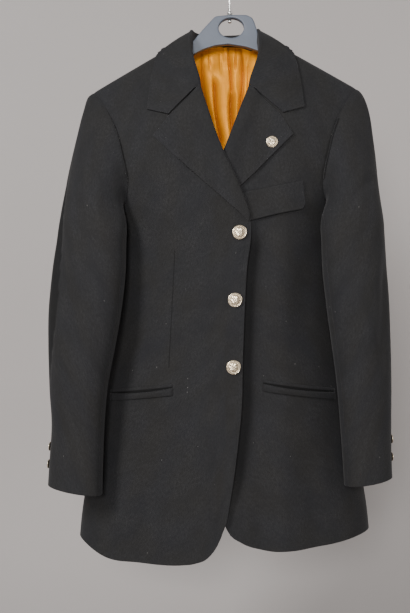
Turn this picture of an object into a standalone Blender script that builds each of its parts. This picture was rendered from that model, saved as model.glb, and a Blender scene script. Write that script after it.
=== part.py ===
"""A long three-button suit jacket of dark wool, buttoned, hanging on a moulded hanger.

Every cloth piece is a thin wall. The body is worked out from sections by height: a front
half and a back half that meet at the side line, drawn in towards the shoulder ridge that
lies on the hanger. The panels are cut from that body by their edges, the sleeves are rings
along the arm that start on the armhole, and what lies on a panel is made from the panel's
own points, moved out. Metres, +Z up, the front faces -Y, the wearer's right is -X.
The origin is the inside top of the hanger's hook.
"""

import math

import bmesh
import bpy
import numpy as np

CLOTH = 0.0020
SEAM = 0.0003
LINING_CLOTH = 0.0010
HANG_TILT = 0.015
LEFT, RIGHT = -1, 1
FRONT, BACK = -1, 1

# Shoulder ridge: the line from the side of the neck down to the sleeve head
NECK_X = 0.062
NECK_Z = -0.121
SHOULDER_X = 0.2143
SHOULDER_Z = -0.2073
RIDGE_ROUND = 0.012
FRONT_FILL = 0.160
BACK_FILL = 0.075
BACK_NECK_Z = -0.119

# How far the under front lies behind the front that is buttoned over it
LAP_DEPTH = 0.0085
LAP_INNER_X = 0.047
LAP_OUTER_X = 0.100


def table(columns, *rows):
    """A short table as one array for each named column."""
    values = np.array(rows, dtype=float)
    return {name: values[:, i] for i, name in enumerate(columns.split())}


BODY = table(
    "height half_width front back side_y front_power back_power",
    (-0.080, 0.276, 0.070, 0.064, 0.000, 1.00, 0.80),
    (-0.210, 0.262, 0.076, 0.068, 0.000, 1.00, 0.75),
    (-0.300, 0.236, 0.080, 0.072, 0.006, 1.00, 0.70),
    (-0.370, 0.205, 0.082, 0.074, 0.020, 1.00, 0.65),
    (-0.420, 0.187, 0.083, 0.074, 0.030, 1.05, 0.60),
    (-0.500, 0.186, 0.081, 0.070, 0.038, 1.10, 0.60),
    (-0.570, 0.189, 0.078, 0.066, 0.042, 1.12, 0.65),
    (-0.650, 0.199, 0.076, 0.070, 0.044, 1.15, 0.70),
    (-0.730, 0.211, 0.076, 0.074, 0.042, 1.15, 0.75),
    (-0.810, 0.223, 0.076, 0.077, 0.038, 1.12, 0.80),
    (-0.890, 0.236, 0.077, 0.079, 0.034, 1.10, 0.80),
    (-0.970, 0.243, 0.077, 0.080, 0.032, 1.10, 0.80),
)

# Edges of the panels, from the top down
TOP_FRONT_EDGE = table(
    "x height",
    (-0.0620, -0.1210),
    (-0.0560, -0.1480),
    (-0.0458, -0.2022),
    (-0.0261, -0.2587),
    (-0.0060, -0.3142),
    (0.0139, -0.3612),
    (0.0330, -0.4120),
    (0.0385, -0.4290),
    (0.0388, -0.4480),
    (0.0332, -0.4943),
    (0.0290, -0.5700),
    (0.0266, -0.6400),
    (0.0246, -0.7185),
    (0.0185, -0.7770),
    (0.0108, -0.8354),
    (0.0015, -0.8908),
)
UNDER_FRONT_EDGE = table(
    "x height",
    (0.0620, -0.1210),
    (0.0560, -0.1480),
    (0.0450, -0.1995),
    (0.0238, -0.2487),
    (0.0018, -0.3042),
    (-0.0190, -0.3590),
    (-0.0360, -0.4080),
    (-0.0385, -0.4300),
    (-0.0340, -0.5000),
    (-0.0270, -0.6000),
    (-0.0210, -0.7000),
    (-0.0150, -0.8000),
    (-0.0080, -0.8700),
)
TOP_HEM = table(
    "x height",
    (-0.2420, -0.9310),
    (-0.1948, -0.9530),
    (-0.1250, -0.9575),
    (-0.0700, -0.9575),
    (-0.0477, -0.9540),
    (-0.0277, -0.9455),
    (-0.0123, -0.9255),
    (0.0015, -0.8908),
    (0.0200, -0.8500),
)
UNDER_HEM = table(
    "x height",
    (-0.0300, -0.8550),
    (-0.0080, -0.8850),
    (0.0060, -0.9120),
    (0.0230, -0.9248),
    (0.0560, -0.9380),
    (0.1000, -0.9405),
    (0.1550, -0.9370),
    (0.1940, -0.9325),
    (0.2420, -0.9270),
)
BACK_HEM = table(
    "x height",
    (-0.2420, -0.9310),
    (-0.1200, -0.9360),
    (0.0000, -0.9340),
    (0.1200, -0.9320),
    (0.2420, -0.9270),
)
FRONT_ARMHOLE = table(
    "x height",
    (0.2143, -0.2073),
    (0.1990, -0.2260),
    (0.1850, -0.2480),
    (0.1700, -0.2810),
    (0.1600, -0.3190),
    (0.1535, -0.3600),
    (0.1565, -0.3830),
    (0.1640, -0.4000),
    (0.1745, -0.4110),
    (0.1869, -0.4180),
)
BACK_ARMHOLE = table(
    "x height",
    (0.2143, -0.2073),
    (0.2030, -0.2300),
    (0.1900, -0.2600),
    (0.1800, -0.3000),
    (0.1750, -0.3400),
    (0.1750, -0.3800),
    (0.1790, -0.4050),
    (0.1869, -0.4180),
)
BACK_SEAM = table("x height", (0.0, -0.119), (0.0, -0.500), (0.0, -0.934))
SIDE_END_HEIGHT = -0.930
UPPER_ROWS = (0.0, 0.015, 0.05, 0.12, 0.22, 0.34, 0.48, 0.62, 0.75, 0.86, 0.94, 0.98, 1.0)
LOWER_ROWS = (0.08, 0.18, 0.28, 0.39, 0.50, 0.61, 0.72, 0.83, 0.93, 1.0)
FRONT_COLUMNS = (0.0, 0.03, 0.07, 0.12, 0.19, 0.27, 0.35, 0.44, 0.53, 0.62, 0.71, 0.80, 0.90, 1.0)
BACK_COLUMNS = (0.0, 0.08, 0.16, 0.231, 0.33, 0.43, 0.55, 0.67, 0.79, 0.90, 1.0)
NECK_COLUMN = 3
SMOOTH_START, SMOOTH_END = 0.10, 0.80
EDGE_PULL = 5.0
FACET_PARTS = 4
LAY_ROUNDS = 4

# Largest soft folds of the body: ridges are positive, troughs negative
BODY_FOLDS = table(
    "face top_x top bottom_x bottom width depth",
    (FRONT, 0.0950, -0.3900, 0.0700, -0.6200, 0.028, 0.0040),
    (FRONT, 0.1350, -0.4600, 0.1150, -0.6600, 0.022, -0.0045),
    (FRONT, 0.0520, -0.6300, 0.0560, -0.9600, 0.018, -0.0040),
    (FRONT, 0.1250, -0.7600, 0.1420, -0.9400, 0.022, -0.0060),
    (FRONT, 0.1850, -0.7200, 0.2000, -0.9600, 0.020, 0.0040),
    (FRONT, -0.1120, -0.4200, -0.1250, -0.6300, 0.022, -0.0035),
    (FRONT, -0.0400, -0.6600, -0.0480, -0.9600, 0.024, 0.0030),
    (FRONT, -0.1300, -0.6900, -0.1480, -0.9600, 0.022, -0.0050),
    (BACK, -0.0700, -0.4200, -0.0850, -0.6600, 0.024, -0.0050),
    (BACK, 0.0780, -0.4500, 0.0900, -0.7000, 0.022, -0.0045),
    (BACK, -0.1350, -0.6600, -0.1500, -0.9600, 0.024, 0.0055),
    (BACK, 0.1280, -0.6900, 0.1420, -0.9600, 0.022, 0.0050),
    (BACK, 0.0400, -0.7200, 0.0460, -0.9600, 0.018, -0.0040),
    (BACK, -0.0480, -0.7600, -0.0560, -0.9600, 0.020, -0.0045),
)
DART_TOP = (-0.0790, -0.4680)
DART_END = (-0.0890, -0.6560)
DART_DEPTH = 0.0020
DART_WIDTH = 0.0050


def along(rows, key, value, where):
    """A smooth curve through one column of a table, read at places along another."""
    keys, values = rows[key], rows[value]
    if keys[0] > keys[-1]:
        keys, values = keys[::-1], values[::-1]
    where = np.clip(where, keys[0], keys[-1])
    steps = np.diff(keys)
    slopes = np.diff(values) / steps
    tangents = np.empty_like(values)
    tangents[0], tangents[-1] = slopes[0], slopes[-1]
    weights = steps[1:] / (steps[1:] + steps[:-1])
    tangents[1:-1] = weights * slopes[:-1] + (1.0 - weights) * slopes[1:]
    i = np.clip(np.searchsorted(keys, where) - 1, 0, len(steps) - 1)
    t = (where - keys[i]) / steps[i]
    rise = values[i + 1] - values[i]
    start = tangents[i] * steps[i]
    end = tangents[i + 1] * steps[i]
    return values[i] + t * start + t**2 * (3 * rise - 2 * start - end) + t**3 * (start + end - 2 * rise)


def ease(value, start, end):
    """A smooth step from 0 at start to 1 at end."""
    t = np.clip((value - start) / (end - start), 0.0, 1.0)
    return t * t * (3.0 - 2.0 * t)


def ridge_height(x):
    """Height of the shoulder ridge at x, carried on in a straight line over the neck."""
    slope = (SHOULDER_Z - NECK_Z) / (SHOULDER_X - NECK_X)
    return NECK_Z + slope * (np.abs(x) - NECK_X)


def body_fold(face, x, z):
    """Height of the body's soft folds: bell-shaped across, easing in and out along."""
    height = np.zeros(np.broadcast(x, z).shape)
    for i in range(len(BODY_FOLDS["face"])):
        fold = {name: column[i] for name, column in BODY_FOLDS.items()}
        if fold["face"] != face:
            continue
        run = np.clip((z - fold["top"]) / (fold["bottom"] - fold["top"]), 0.0, 1.0)
        middle = fold["top_x"] + (fold["bottom_x"] - fold["top_x"]) * run
        fade = ease(run, 0.0, 0.35)
        if fold["bottom"] > -0.9:
            fade = fade * ease(run, 1.0, 0.65)
        height = height + fold["depth"] * fade * np.exp(-(((x - middle) / fold["width"]) ** 2))
    if face == FRONT:
        run = np.clip((z - DART_TOP[1]) / (DART_END[1] - DART_TOP[1]), 0.0, 1.0)
        middle = DART_TOP[0] + (DART_END[0] - DART_TOP[0]) * run
        line = np.exp(-(((x - middle) / DART_WIDTH) ** 2))
        height = height - DART_DEPTH * line * ease(run, 0.0, 0.3) * ease(run, 1.0, 0.9)
    return height


def body_point(face, x_side, angle, z, under=False):
    """A point of the body's outer face: angle is 0 at the middle and a right angle at the side."""
    half_width = along(BODY, "height", "half_width", z)
    side_y = along(BODY, "height", "side_y", z)
    depth = along(BODY, "height", "front" if face == FRONT else "back", z)
    power = along(BODY, "height", "front_power" if face == FRONT else "back_power", z)
    x = x_side * half_width * np.sin(angle)
    below = np.maximum(ridge_height(x) - z, 0.0)
    fill = FRONT_FILL if face == FRONT else BACK_FILL
    round_part = RIDGE_ROUND * np.sqrt(1.0 - (1.0 - np.minimum(below / RIDGE_ROUND, 1.0)) ** 2)
    deep_part = (depth - RIDGE_ROUND) * (1.0 - (1.0 - np.minimum(below / fill, 1.0)) ** 2)
    shape = np.maximum(np.cos(angle), 0.0) ** power
    reach = (depth + face * -side_y) * shape * (round_part + deep_part) / depth
    y = side_y + face * (reach + body_fold(face, x, z) * shape * ease(below, 0.0, 0.1))
    if under:
        y = y + LAP_DEPTH * ease(x, LAP_OUTER_X, LAP_INNER_X) * ease(z, -0.150, -0.260)
    return np.stack([x, y, z], axis=-1)


def body_at(face, x, z, under=False):
    """The point of the body's outer face at a given x and height."""
    half_width = along(BODY, "height", "half_width", z)
    angle = np.arcsin(np.clip(x / half_width, -1.0, 1.0))
    return body_point(face, 1, angle, z, under)


def outward(grid, face):
    """Unit normals of a grid of points, pointing away from the inside of the jacket."""
    normals = np.cross(np.gradient(grid, axis=0), np.gradient(grid, axis=1))
    normals /= np.maximum(np.linalg.norm(normals, axis=-1, keepdims=True), 1e-12)
    middle = normals[normals.shape[0] // 2, normals.shape[1] // 2]
    return normals if middle[1] * face > 0 else -normals


def flatten(normals, axis):
    """Normals turned square to one axis, where two panels meet at a seam."""
    flat = normals.copy()
    flat[..., axis] = 0.0
    return flat / np.linalg.norm(flat, axis=-1, keepdims=True)


def edge_share(edge, hem, side=1):
    """How far down the body each point of an edge lies, 0 at the ridge and 1 at the hem."""
    x = edge["x"] * side
    ridge = ridge_height(x)
    bottom = along(hem, "x", "height", x)
    return (ridge - edge["height"]) / (ridge - bottom)


def edge_x(edge, hem, share, side=1):
    """The x of an edge at given shares of the height."""
    shares = edge_share(edge, hem, side)
    return side * along({"share": shares, "x": edge["x"]}, "share", "x", share)


def neckline_height(x):
    """Height of the back neckline, lowest in the middle."""
    return BACK_NECK_Z + (NECK_Z - BACK_NECK_Z) * np.minimum(np.abs(x) / NECK_X, 1.0) ** 2.5


def neckline_share(x):
    """How far down from the ridge the back neckline lies, as a share of the body's height."""
    ridge = ridge_height(x)
    drop = np.where(np.abs(x) < NECK_X, ridge - neckline_height(x), 0.0)
    return drop / (ridge - along(BACK_HEM, "x", "height", x))


def panel(face, side, inner, armhole, hem, upper_rows, lower_rows, columns, under=False):
    """Points of a panel between an inner edge and the armhole and side seam, from the top down.

    Each row lies at one share of the height between ridge and hem: the upper rows end at the
    underarm. Across, the angle round the body runs evenly with the column's share towards a
    smooth side line, and the outer columns are drawn in to the armhole."""
    underarm = edge_share(armhole, hem, side)[-1]
    upper, lower = np.array(upper_rows), np.array(lower_rows)
    share = np.concatenate([upper * underarm, underarm + lower * (1.0 - underarm)])[:, None]
    across = np.array(columns)[None, :]

    def angle_of(x):
        z = ridge_height(x) * (1 - share) + along(hem, "x", "height", x) * share
        return np.arcsin(np.clip(side * x / along(BODY, "height", "half_width", z), -1.0, 1.0))

    first = angle_of(edge_x(inner, hem, share))
    last = np.minimum(angle_of(edge_x(armhole, hem, share, side)), math.pi / 2)
    last = np.where(share >= underarm - 1e-9, math.pi / 2, last)
    smooth = last[0] + (math.pi / 2 - last[0]) * ease(share, SMOOTH_START, SMOOTH_END)
    angle = first + (smooth - first) * across + (last - smooth) * across**EDGE_PULL
    z = NECK_Z + (SIDE_END_HEIGHT - NECK_Z) * share
    for _ in range(12):
        x = side * along(BODY, "height", "half_width", z) * np.sin(angle)
        lowered = share + (neckline_share(x) * (1 - share) ** 4 if face == BACK else 0.0)
        z = ridge_height(x) * (1 - lowered) + along(hem, "x", "height", x) * lowered
    return body_point(face, side, angle, z, under) + (0.0, face * SEAM / 2, 0.0)


def wall(name, outer, normals, thickness, material):
    """One closed piece of cloth: the outer grid, the same grid moved in, and the rim."""
    rows, columns = outer.shape[:2]
    inner = outer - normals * thickness
    points = np.concatenate([outer.reshape(-1, 3), inner.reshape(-1, 3)])
    number = np.arange(rows * columns).reshape(rows, columns)
    behind = number + rows * columns
    faces = []
    for i in range(rows - 1):
        for j in range(columns - 1):
            corners = (number[i, j], number[i, j + 1], number[i + 1, j + 1], number[i + 1, j])
            for face in ((corners[0], corners[1], corners[2]), (corners[0], corners[2], corners[3])):
                faces.append(face)
                faces.append(tuple(v + rows * columns for v in reversed(face)))
    rims = (
        (number[0], behind[0]),
        (number[-1][::-1], behind[-1][::-1]),
        (number[::-1, 0], behind[::-1, 0]),
        (number[:, -1], behind[:, -1]),
    )
    for near, far in rims:
        for k in range(len(near) - 1):
            faces.append((near[k + 1], near[k], far[k], far[k + 1]))
    return make_object(name, points, faces, material)


def make_object(name, points, faces, material):
    """A named object from points and faces, hung with the jacket's slight tilt."""
    mesh = bpy.data.meshes.new(name)
    points = np.asarray(points, dtype=float).reshape(-1, 3).copy()
    points[:, 2] += HANG_TILT * points[:, 0]
    mesh.from_pydata([tuple(p) for p in points], [], [tuple(int(v) for v in f) for f in faces])
    shape = bmesh.new()
    shape.from_mesh(mesh)
    bmesh.ops.recalc_face_normals(shape, faces=shape.faces)
    shape.to_mesh(mesh)
    shape.free()
    mesh.shade_smooth()
    mesh.set_sharp_from_angle(angle=math.radians(40))
    mesh.materials.append(material)
    item = bpy.data.objects.new(name, mesh)
    bpy.context.scene.collection.objects.link(item)
    return item


def make_material(name, colour, roughness, metallic=0.0):
    """A plain material of the part's colour."""
    material = bpy.data.materials.new(name)
    material.use_nodes = True
    shader = material.node_tree.nodes["Principled BSDF"]
    shader.inputs["Base Color"].default_value = (*colour, 1.0)
    shader.inputs["Roughness"].default_value = roughness
    shader.inputs["Metallic"].default_value = metallic
    return material


def spread(grid, parts):
    """Points spread over the cells of a grid, each with the number of its cell's first corner."""
    shares = np.linspace(0.0, 1.0, parts)
    u, v = shares[:, None, None], shares[None, :, None]
    points = []
    for i in range(grid.shape[0] - 1):
        for j in range(grid.shape[1] - 1):
            near = grid[i, j] * (1 - v) + grid[i, j + 1] * v
            far = grid[i + 1, j] * (1 - v) + grid[i + 1, j + 1] * v
            points.append((near * (1 - u) + far * u).reshape(-1, 3))
    return np.array(points)


def facets(grid, outward_from):
    """Points over a laid-out grid with the unit normals of their cells, on the side given."""
    points = spread(grid, FACET_PARTS)
    falling = grid[1:, 1:] - grid[:-1, :-1]
    rising = grid[:-1, 1:] - grid[1:, :-1]
    normals = np.cross(falling, rising).reshape(-1, 3)
    normals /= np.maximum(np.linalg.norm(normals, axis=1, keepdims=True), 1e-12)
    side = (outward_from[:-1, :-1].reshape(-1, 3) * normals).sum(axis=1, keepdims=True)
    normals *= np.sign(side)
    return points.reshape(-1, 3), np.repeat(normals, points.shape[1], axis=0)


def lay_clear(grid, under, clear):
    """A grid moved off what it lies on until every part of it stands clear by that much."""
    places, normals = under
    low, high = grid.reshape(-1, 3).min(axis=0) - 0.02, grid.reshape(-1, 3).max(axis=0) + 0.02
    close = ((places > low) & (places < high)).all(axis=1)
    places, normals = places[close], normals[close]
    laid = grid.copy()
    columns = grid.shape[1] - 1
    for _ in range(LAY_ROUNDS):
        push = np.zeros(grid.shape[:2])
        for cell, points in enumerate(spread(laid, 3)):
            nearest = ((points[:, None] - places[None]) ** 2).sum(axis=2).argmin(axis=1)
            height = ((points - places[nearest]) * normals[nearest]).sum(axis=1)
            i, j = divmod(cell, columns)
            lack = max(0.0, clear - height.min())
            push[i : i + 2, j : j + 2] = np.maximum(push[i : i + 2, j : j + 2], lack)
        for i, j in zip(*np.nonzero(push)):
            nearest = ((laid[i, j] - places) ** 2).sum(axis=1).argmin()
            laid[i, j] += normals[nearest] * push[i, j]
    return laid


def joined(*groups):
    """The points and normals of several panels as one surface."""
    parts = [part for group in groups for part in group.values()]
    return np.concatenate([p[0] for p in parts]), np.concatenate([p[1] for p in parts])


def laid_wall(name, grid, under, clear, face, thickness, material):
    """A piece that lies on another: its near face is laid clear, its far face moved out."""
    near = lay_clear(grid, under, clear)
    normals = outward(near, face)
    return wall(name, near + normals * thickness, normals, thickness, material)


def make_fronts(wool):
    """The two fronts: the wearer's right one laps over the left one."""
    lie = {}
    fronts = (
        ("front_right", LEFT, TOP_FRONT_EDGE, TOP_HEM, False),
        ("front_left", RIGHT, UNDER_FRONT_EDGE, UNDER_HEM, True),
    )
    for name, side, edge, hem, under in fronts:
        grid = panel(FRONT, side, edge, FRONT_ARMHOLE, hem, UPPER_ROWS, LOWER_ROWS, FRONT_COLUMNS, under)
        normals = outward(grid, FRONT)
        normals[0] = flatten(normals[0], 1)
        normals[len(UPPER_ROWS) - 1 :, -1] = flatten(normals[len(UPPER_ROWS) - 1 :, -1], 1)
        wall(name, grid, normals, CLOTH, wool)
        lie[side] = facets(grid, normals)
    return lie


def make_backs(wool):
    """The two backs, which meet at a seam down the middle."""
    outside, inside = {}, {}
    for name, side in (("back_right", LEFT), ("back_left", RIGHT)):
        edge = {"x": BACK_SEAM["x"] + side * SEAM / 2, "height": BACK_SEAM["height"]}
        grid = panel(BACK, side, edge, BACK_ARMHOLE, BACK_HEM, UPPER_ROWS, LOWER_ROWS, BACK_COLUMNS)
        normals = outward(grid, BACK)
        normals[:, 0] = flatten(normals[:, 0], 0)
        normals[0, NECK_COLUMN:] = flatten(normals[0, NECK_COLUMN:], 1)
        normals[len(UPPER_ROWS) - 1 :, -1] = flatten(normals[len(UPPER_ROWS) - 1 :, -1], 1)
        wall(name, grid, normals, CLOTH, wool)
        outside[side] = facets(grid, normals)
        inside[side] = facets(grid - normals * CLOTH, -normals)
    return outside, inside


# Sleeves: the armhole loop, then rings down the arm. Turns run once round from the shoulder
# tip, over the front, under the arm and up the back.
ARM = table(
    "height right_x left_x y right_long left_long half_short slant",
    (-0.4400, 0.1985, -0.2085, -0.0485, 0.0520, 0.0585, 0.0405, 0.000),
    (-0.5000, 0.2015, -0.2131, -0.0480, 0.0518, 0.0618, 0.0440, 0.000),
    (-0.5600, 0.2070, -0.2194, -0.0480, 0.0506, 0.0612, 0.0430, 0.000),
    (-0.6200, 0.2120, -0.2255, -0.0470, 0.0475, 0.0560, 0.0410, 0.000),
    (-0.6800, 0.2165, -0.2310, -0.0460, 0.0440, 0.0485, 0.0380, 0.000),
    (-0.7400, 0.2198, -0.2325, -0.0455, 0.0420, 0.0450, 0.0350, 0.000),
    (-0.8000, 0.2231, -0.2355, -0.0455, 0.0405, 0.0462, 0.0335, 0.080),
    (-0.8360, 0.2255, -0.2372, -0.0460, 0.0402, 0.0472, 0.0330, 0.140),
)
ARM_TURN = math.radians(30)
CUFF_DROP = {LEFT: 0.0095, RIGHT: 0.0}
RING_ANGLE = table(
    "turn degrees",
    (-0.25, -57),
    (0.00, -5),
    (0.20, 85),
    (0.38, 178),
    (0.44, 226),
    (0.50, 272),
    (0.62, 291),
    (0.75, 310),
    (1.00, 355),
    (1.20, 445),
)
FOREARM_TURN = 0.385
HINDARM_TURN = 0.880
SEAM_TURN = 0.0016
CAP_ROWS = (0.0, 0.09, 0.22, 0.38, 0.56, 0.78)
ARM_HEIGHTS = (-0.440, -0.478, -0.518, -0.558, -0.598, -0.638, -0.680, -0.722, -0.764, -0.802, -0.836)
TOP_SLEEVE_STEPS = 15
UNDER_SLEEVE_STEPS = 12
ARMHOLE_GAP = 0.0020
UNDERARM_FLARE = 0.55
CAP_START = {LEFT: 0.54, RIGHT: 0.46}
CAP_END = 0.80

SLEEVE_FOLDS = table(
    "side top_turn top bottom_turn bottom width depth",
    (LEFT, 0.09, -0.380, 0.270, -0.660, 0.035, -0.0050),
    (LEFT, 0.19, -0.330, 0.340, -0.480, 0.030, 0.0040),
    (LEFT, 0.66, -0.450, 0.600, -0.640, 0.035, -0.0050),
    (RIGHT, 0.06, -0.340, 0.330, -0.420, 0.032, -0.0055),
    (RIGHT, 0.12, -0.450, 0.200, -0.680, 0.035, -0.0045),
    (RIGHT, 0.30, -0.520, 0.220, -0.640, 0.030, 0.0040),
    (RIGHT, 0.66, -0.480, 0.620, -0.660, 0.035, -0.0050),
)


def armhole_loop(side, turns):
    """Points of the armhole on the body's outer face at given turns."""
    points = []
    for face, edge in ((FRONT, FRONT_ARMHOLE), (BACK, BACK_ARMHOLE)):
        steps = {"step": np.arange(len(edge["x"])), "x": edge["x"], "height": edge["height"]}
        fine = np.linspace(0, len(edge["x"]) - 1, 60)
        x = along(steps, "step", "x", fine) * side
        z = along(steps, "step", "height", fine)
        half = body_at(face, x, z, side == RIGHT and face == FRONT)
        points.append(half if face == FRONT else half[::-1])
    loop = []
    for half in points:
        length = np.concatenate([[0.0], np.cumsum(np.linalg.norm(np.diff(half, axis=0), axis=1))])
        loop.append((length / length[-1], half))
    turns = np.mod(turns, 1.0)
    result = np.empty((len(turns), 3))
    for k, turn in enumerate(turns):
        share, half = loop[0] if turn < 0.5 else loop[1]
        part = turn * 2 if turn < 0.5 else turn * 2 - 1
        result[k] = [np.interp(part, share, half[:, axis]) for axis in range(3)]
    return result


def arm_ring(side, turns, height):
    """Points of one ring of the arm, an oval turned so that its inner end lies forward."""
    angle = np.radians(along(RING_ANGLE, "turn", "degrees", np.mod(turns, 1.0)))
    row = {name: along(ARM, "height", name, height) for name in ARM if name != "height"}
    word = "right" if side == RIGHT else "left"
    x, half_long = row[word + "_x"], row[word + "_long"]
    inner = np.array([-side * math.cos(ARM_TURN), -math.sin(ARM_TURN)])
    rear = np.array([-side * math.sin(ARM_TURN), math.cos(ARM_TURN)])
    flat = -np.cos(angle)[:, None] * half_long * inner
    flat = flat - np.sin(angle)[:, None] * row["half_short"] * rear
    drop = CUFF_DROP[side] * ease(height, -0.60, -0.836)
    z = height - drop + row["slant"] * side * flat[:, 0]
    return np.column_stack([x + flat[:, 0], row["y"] + flat[:, 1], z])


def sleeve_grid(side, turns):
    """Sleeve points at given turns, in rows from the armhole to the cuff.

    Over the sleeve head each line is a curve that leaves the armhole outwards and comes down
    into the first ring of the arm, so the head is full and rounded."""
    start = armhole_loop(side, turns)
    first = arm_ring(side, turns, ARM_HEIGHTS[0])
    second = arm_ring(side, turns, ARM_HEIGHTS[1])
    centre = armhole_loop(side, np.linspace(0, 1, 40, endpoint=False)).mean(axis=0)
    radial = start - centre
    radial[:, 0] = 0.0
    radial /= np.linalg.norm(radial, axis=1, keepdims=True)
    upward = np.maximum(radial[:, 2:], 0.0)
    leave = np.array([side * 0.80, 0.0, -0.50]) + 0.30 * radial * (1.0, 1.0, 0.0)
    leave[:, 2:] += 0.30 * upward + UNDERARM_FLARE * (upward - radial[:, 2:])
    leave /= np.linalg.norm(leave, axis=1, keepdims=True)
    arrive = second - first
    arrive /= np.linalg.norm(arrive, axis=1, keepdims=True)
    reach = np.linalg.norm(first - start, axis=1, keepdims=True)
    rows = []
    for w in CAP_ROWS:
        bend = (2 * w**3 - 3 * w**2 + 1) * start + (w**3 - 2 * w**2 + w) * CAP_START[side] * reach * leave
        bend = bend + (3 * w**2 - 2 * w**3) * first + (w**3 - w**2) * CAP_END * reach * arrive
        rows.append(bend + leave * ARMHOLE_GAP)
    rows += [arm_ring(side, turns, height) for height in ARM_HEIGHTS]
    return np.array(rows)


def sleeve_normals(side, turns):
    """Outward unit normals of the sleeve, from neighbouring turns and rows."""
    step = 0.004
    ahead, behind = sleeve_grid(side, turns + step), sleeve_grid(side, turns - step)
    down = np.gradient(sleeve_grid(side, turns), axis=0)
    normals = np.cross(ahead - behind, down) * side
    return normals / np.linalg.norm(normals, axis=-1, keepdims=True)


def sleeve_points(side, turns):
    """Sleeve points with the soft folds added along the normals, and the normals."""
    grid = sleeve_grid(side, turns)
    normals = sleeve_normals(side, turns)
    lift = np.zeros(grid.shape[:2])
    for i in range(len(SLEEVE_FOLDS["side"])):
        fold = {name: column[i] for name, column in SLEEVE_FOLDS.items()}
        if fold["side"] != side:
            continue
        run = np.clip((grid[..., 2] - fold["top"]) / (fold["bottom"] - fold["top"]), 0.0, 1.0)
        middle = fold["top_turn"] + (fold["bottom_turn"] - fold["top_turn"]) * run
        fade = ease(run, 0.0, 0.35) * ease(run, 1.0, 0.65)
        away = np.mod(turns[None, :] - middle + 0.5, 1.0) - 0.5
        lift += fold["depth"] * fade * np.exp(-((away / fold["width"]) ** 2))
    return grid + normals * lift[..., None], normals


def make_sleeves(wool):
    """Each sleeve in two pieces that meet along the forearm and the hindarm."""
    for side, word in ((LEFT, "right"), (RIGHT, "left")):
        top_turns = np.linspace(HINDARM_TURN - 1.0, FOREARM_TURN, TOP_SLEEVE_STEPS)
        under_turns = np.linspace(FOREARM_TURN, HINDARM_TURN, UNDER_SLEEVE_STEPS)
        for piece, turns in (("top", top_turns), ("under", under_turns)):
            turns[0] += SEAM_TURN / 2
            turns[-1] -= SEAM_TURN / 2
            grid, normals = sleeve_points(side, turns)
            wall(f"sleeve_{piece}_{word}", grid, normals, CLOTH, wool)


# Lapels: the roll line is the front edge; the outer edge runs from the notch over the tip
LAPELS = {
    LEFT: {"gorge": (-0.0465, -0.2190), "notch": (-0.0902, -0.2620), "tip": (-0.1119, -0.2916)},
    RIGHT: {"gorge": (0.0432, -0.2180), "notch": (0.0859, -0.2616), "tip": (0.1034, -0.2925)},
}
LAPEL_END = {LEFT: (0.0330, -0.4180), RIGHT: (-0.0300, -0.4140)}
LAPEL_ROLL = 0.0032
LAPEL_ROLL_AT = 0.008
LAPEL_ROLL_WIDTH = 0.014
LAPEL_LIFT = 0.0006
LAPEL_LONG_STEPS = 16
LAPEL_CROSS_STEPS = 9


def laid_on(x, z, lift, under=False, face=FRONT):
    """Points on the body's outer face at x and height, moved out square to it by lift."""
    step = 0.0006
    here = body_at(face, x, z, under)
    across = body_at(face, x + step, z, under) - body_at(face, x - step, z, under)
    along_z = body_at(face, x, z + step, under) - body_at(face, x, z - step, under)
    normals = np.cross(across, along_z)
    normals /= np.linalg.norm(normals, axis=-1, keepdims=True)
    normals *= np.sign(normals[..., 1:2]) * face
    return here + normals * np.asarray(lift)[..., None], normals


def make_lapels(wool, fronts):
    """Each lapel lies folded back on its front and is fullest just beside the roll line."""
    for side, word in ((LEFT, "right"), (RIGHT, "left")):
        marks = {name: np.array(place) for name, place in LAPELS[side].items()}
        edge = TOP_FRONT_EDGE if side == LEFT else UNDER_FRONT_EDGE
        end = np.array(LAPEL_END[side])
        down = np.linspace(0, 1, LAPEL_LONG_STEPS)
        heights = marks["gorge"][1] + (end[1] - marks["gorge"][1]) * down
        roll = np.column_stack([along(edge, "height", "x", heights), heights])
        outer = marks["tip"] + (end + (0.0, -0.007) - marks["tip"]) * down[:, None]
        across = np.linspace(0, 1, LAPEL_CROSS_STEPS)[None, :, None]
        plan = roll[:, None] + (outer - roll)[:, None] * across
        bend = marks["notch"] - (marks["gorge"] + (marks["tip"] - marks["gorge"]) * 0.64)
        share = across[0, :, 0]
        hump = np.where(share < 0.64, share / 0.64, (1 - share) / 0.36)
        fade = (1 - ease(down, 0.0, 0.12))[:, None, None]
        plan = plan + bend * hump[None, :, None] * fade
        out = np.linalg.norm(plan - roll[:, None], axis=-1)
        lift = LAPEL_LIFT + LAPEL_ROLL * np.exp(-(((out - LAPEL_ROLL_AT) / LAPEL_ROLL_WIDTH) ** 2))
        grid, _ = laid_on(plan[..., 0], plan[..., 1], lift, side == RIGHT)
        laid_wall(f"lapel_{word}", grid, fronts[side], LAPEL_LIFT, FRONT, CLOTH, wool)


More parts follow.
